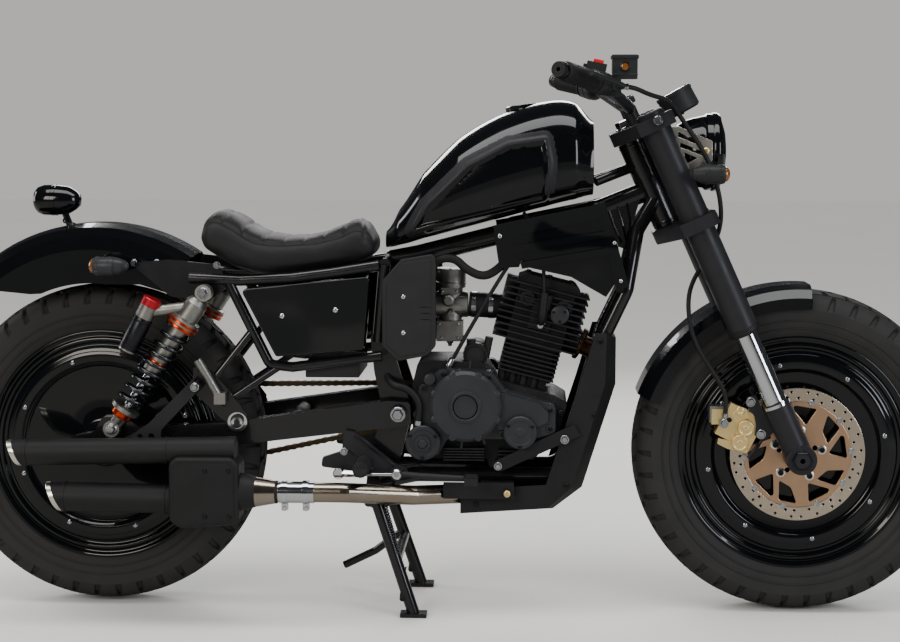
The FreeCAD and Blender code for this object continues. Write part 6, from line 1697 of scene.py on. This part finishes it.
lampBody = ((20, 1), (26, 6), (30.2, 18), (30.6, 40), (29, 56), (26.4, 70), (19, 82), (12, 90), (0.01, 92))
tailStand = standing(cad(-828, 0, 811), (1, 0, 0))
tail = [turned(lampBody, tailStand, 56),
        swept([cad(-760, 0, 762), cad(-766, 0, 778), cad(-772, 0, 792)], 7, 20)]
tail += [turned(((30, z), (31.4, z + 0.6), (31.4, z + 2.4), (30, z + 3)), tailStand, 56, True)
         for z in (34, 41)]
addPiece("tail_lamp_body", tail, "polishedLacquer", "chassis", 40, 0.0, ("tail_light",))
addPiece("tail_lamp_lens",
         turned(((20.5, 2), (19.5, 0.5), (16, -1.2), (8, -2.4), (0.01, -2.8)), tailStand, 48),
         "smokedRedLens", "chassis", 60)
for label, side in zip(("Right", "Left"), sides):
    routedTube("tail_lamp_wire_" + label,
               [cad(-766, side * 5, 778), cad(-776, side * 10, 768), cad(-752, side * 15, 764),
                cad(-744, side * 15, 757)], 1.7, "chassis")


def weldBead(place, direction, radius):
    # a rippled bead round a tube
    points, faces = turned([(radius + 1.6 * cos(a), 2.4 * sin(a))
                            for a in (0.0, 1.05, 2.09, 3.14, 4.19, 5.24)], standing(place, direction),
                           48, True)
    axis = Vector(direction).normalized()
    for number, point in enumerate(points):
        outward = point - place - axis * (point - place).dot(axis)
        point += outward.normalized() * 0.0005 * (number % 2)
    return points, faces


addPiece("head_weld_beads",
         [weldBead(onFork(0, 0, -36), forkUp, 26), weldBead(onFork(0, 0, -198), forkUp, 26)],
         "powderCoatedSteel", "chassis", 60)
print("running gear dressed")

# Small steel parts on the frame: head gussets, plate ribs and the rear brake rod

gusset = {"outline": ((311, 803), (381, 824), (366, 775), (353, 716), (337, 722), (319, 771)), "low": 14,
          "high": 17.5,
          "ribs": (((317, 794), (328, 762), (343, 730)), ((334, 801), (345, 765), (352, 735)),
                   ((352, 808), (358, 780), (360, 760)))}
gussets = []
for side in sides:
    gussets.append(cadPlate(gusset["outline"], *sorted((side * gusset["low"], side * gusset["high"]))))
    for rib in gusset["ribs"]:
        gussets.append(swept([cad(x, side * gusset["high"], z) for x, z in rib], 2.2, 8))
addPiece("head_gussets", gussets, "powderCoatedSteel", "chassis", 40)
plateRibs = []
for side in sides:
    face = side * 137.3
    for run in (((-174, 361), (-128, 326), (-98, 303), (-80, 296)), ((-186, 332), (-150, 300), (-140, 296))):
        plateRibs.append(swept([cad(x, face, z) for x, z in run], 2.2, 8))
addPiece("peg_plate_ribs", plateRibs, "powderCoatedSteel", "chassis", 50)
brakeRod = [turned(((0.01, -2), (10, -2), (11, 0), (11, 6), (9.5, 8), (0.01, 8)),
                   across(cad(-204, -156, 291), -1), 36),
            swept([cad(-197, -160, 290.6), cad(-160, -160, 289.5)], 6.5, 6),
            swept([cad(-164, -160, 289.6), cad(-96, -160, 290)], 3.2, 14),
            turned(((0.01, -2), (9, -2), (9.5, 0), (9.5, 5), (8, 6.5), (0.01, 6.5)),
                   across(cad(-92, -158, 290), -1), 30)]
addPiece("rear_brake_rod", brakeRod, "hardChrome", "chassis", 34)
plateBolts = []
for side in sides:
    stand = across(cad(-404, side * 131, 386), side)
    plateBolts += [turned(((0.01, 0), (19, 0), (19.5, 1), (19, 2.4), (0.01, 2.6)), stand, 44),
                   turned(((13, 2), (13, 6), (11, 8), (6, 8.4), (5, 4), (0.01, 4)), stand, 36)]
addPiece("peg_plate_bolts", plateBolts, "hardChrome", "chassis", 34)
print("small frame parts made")
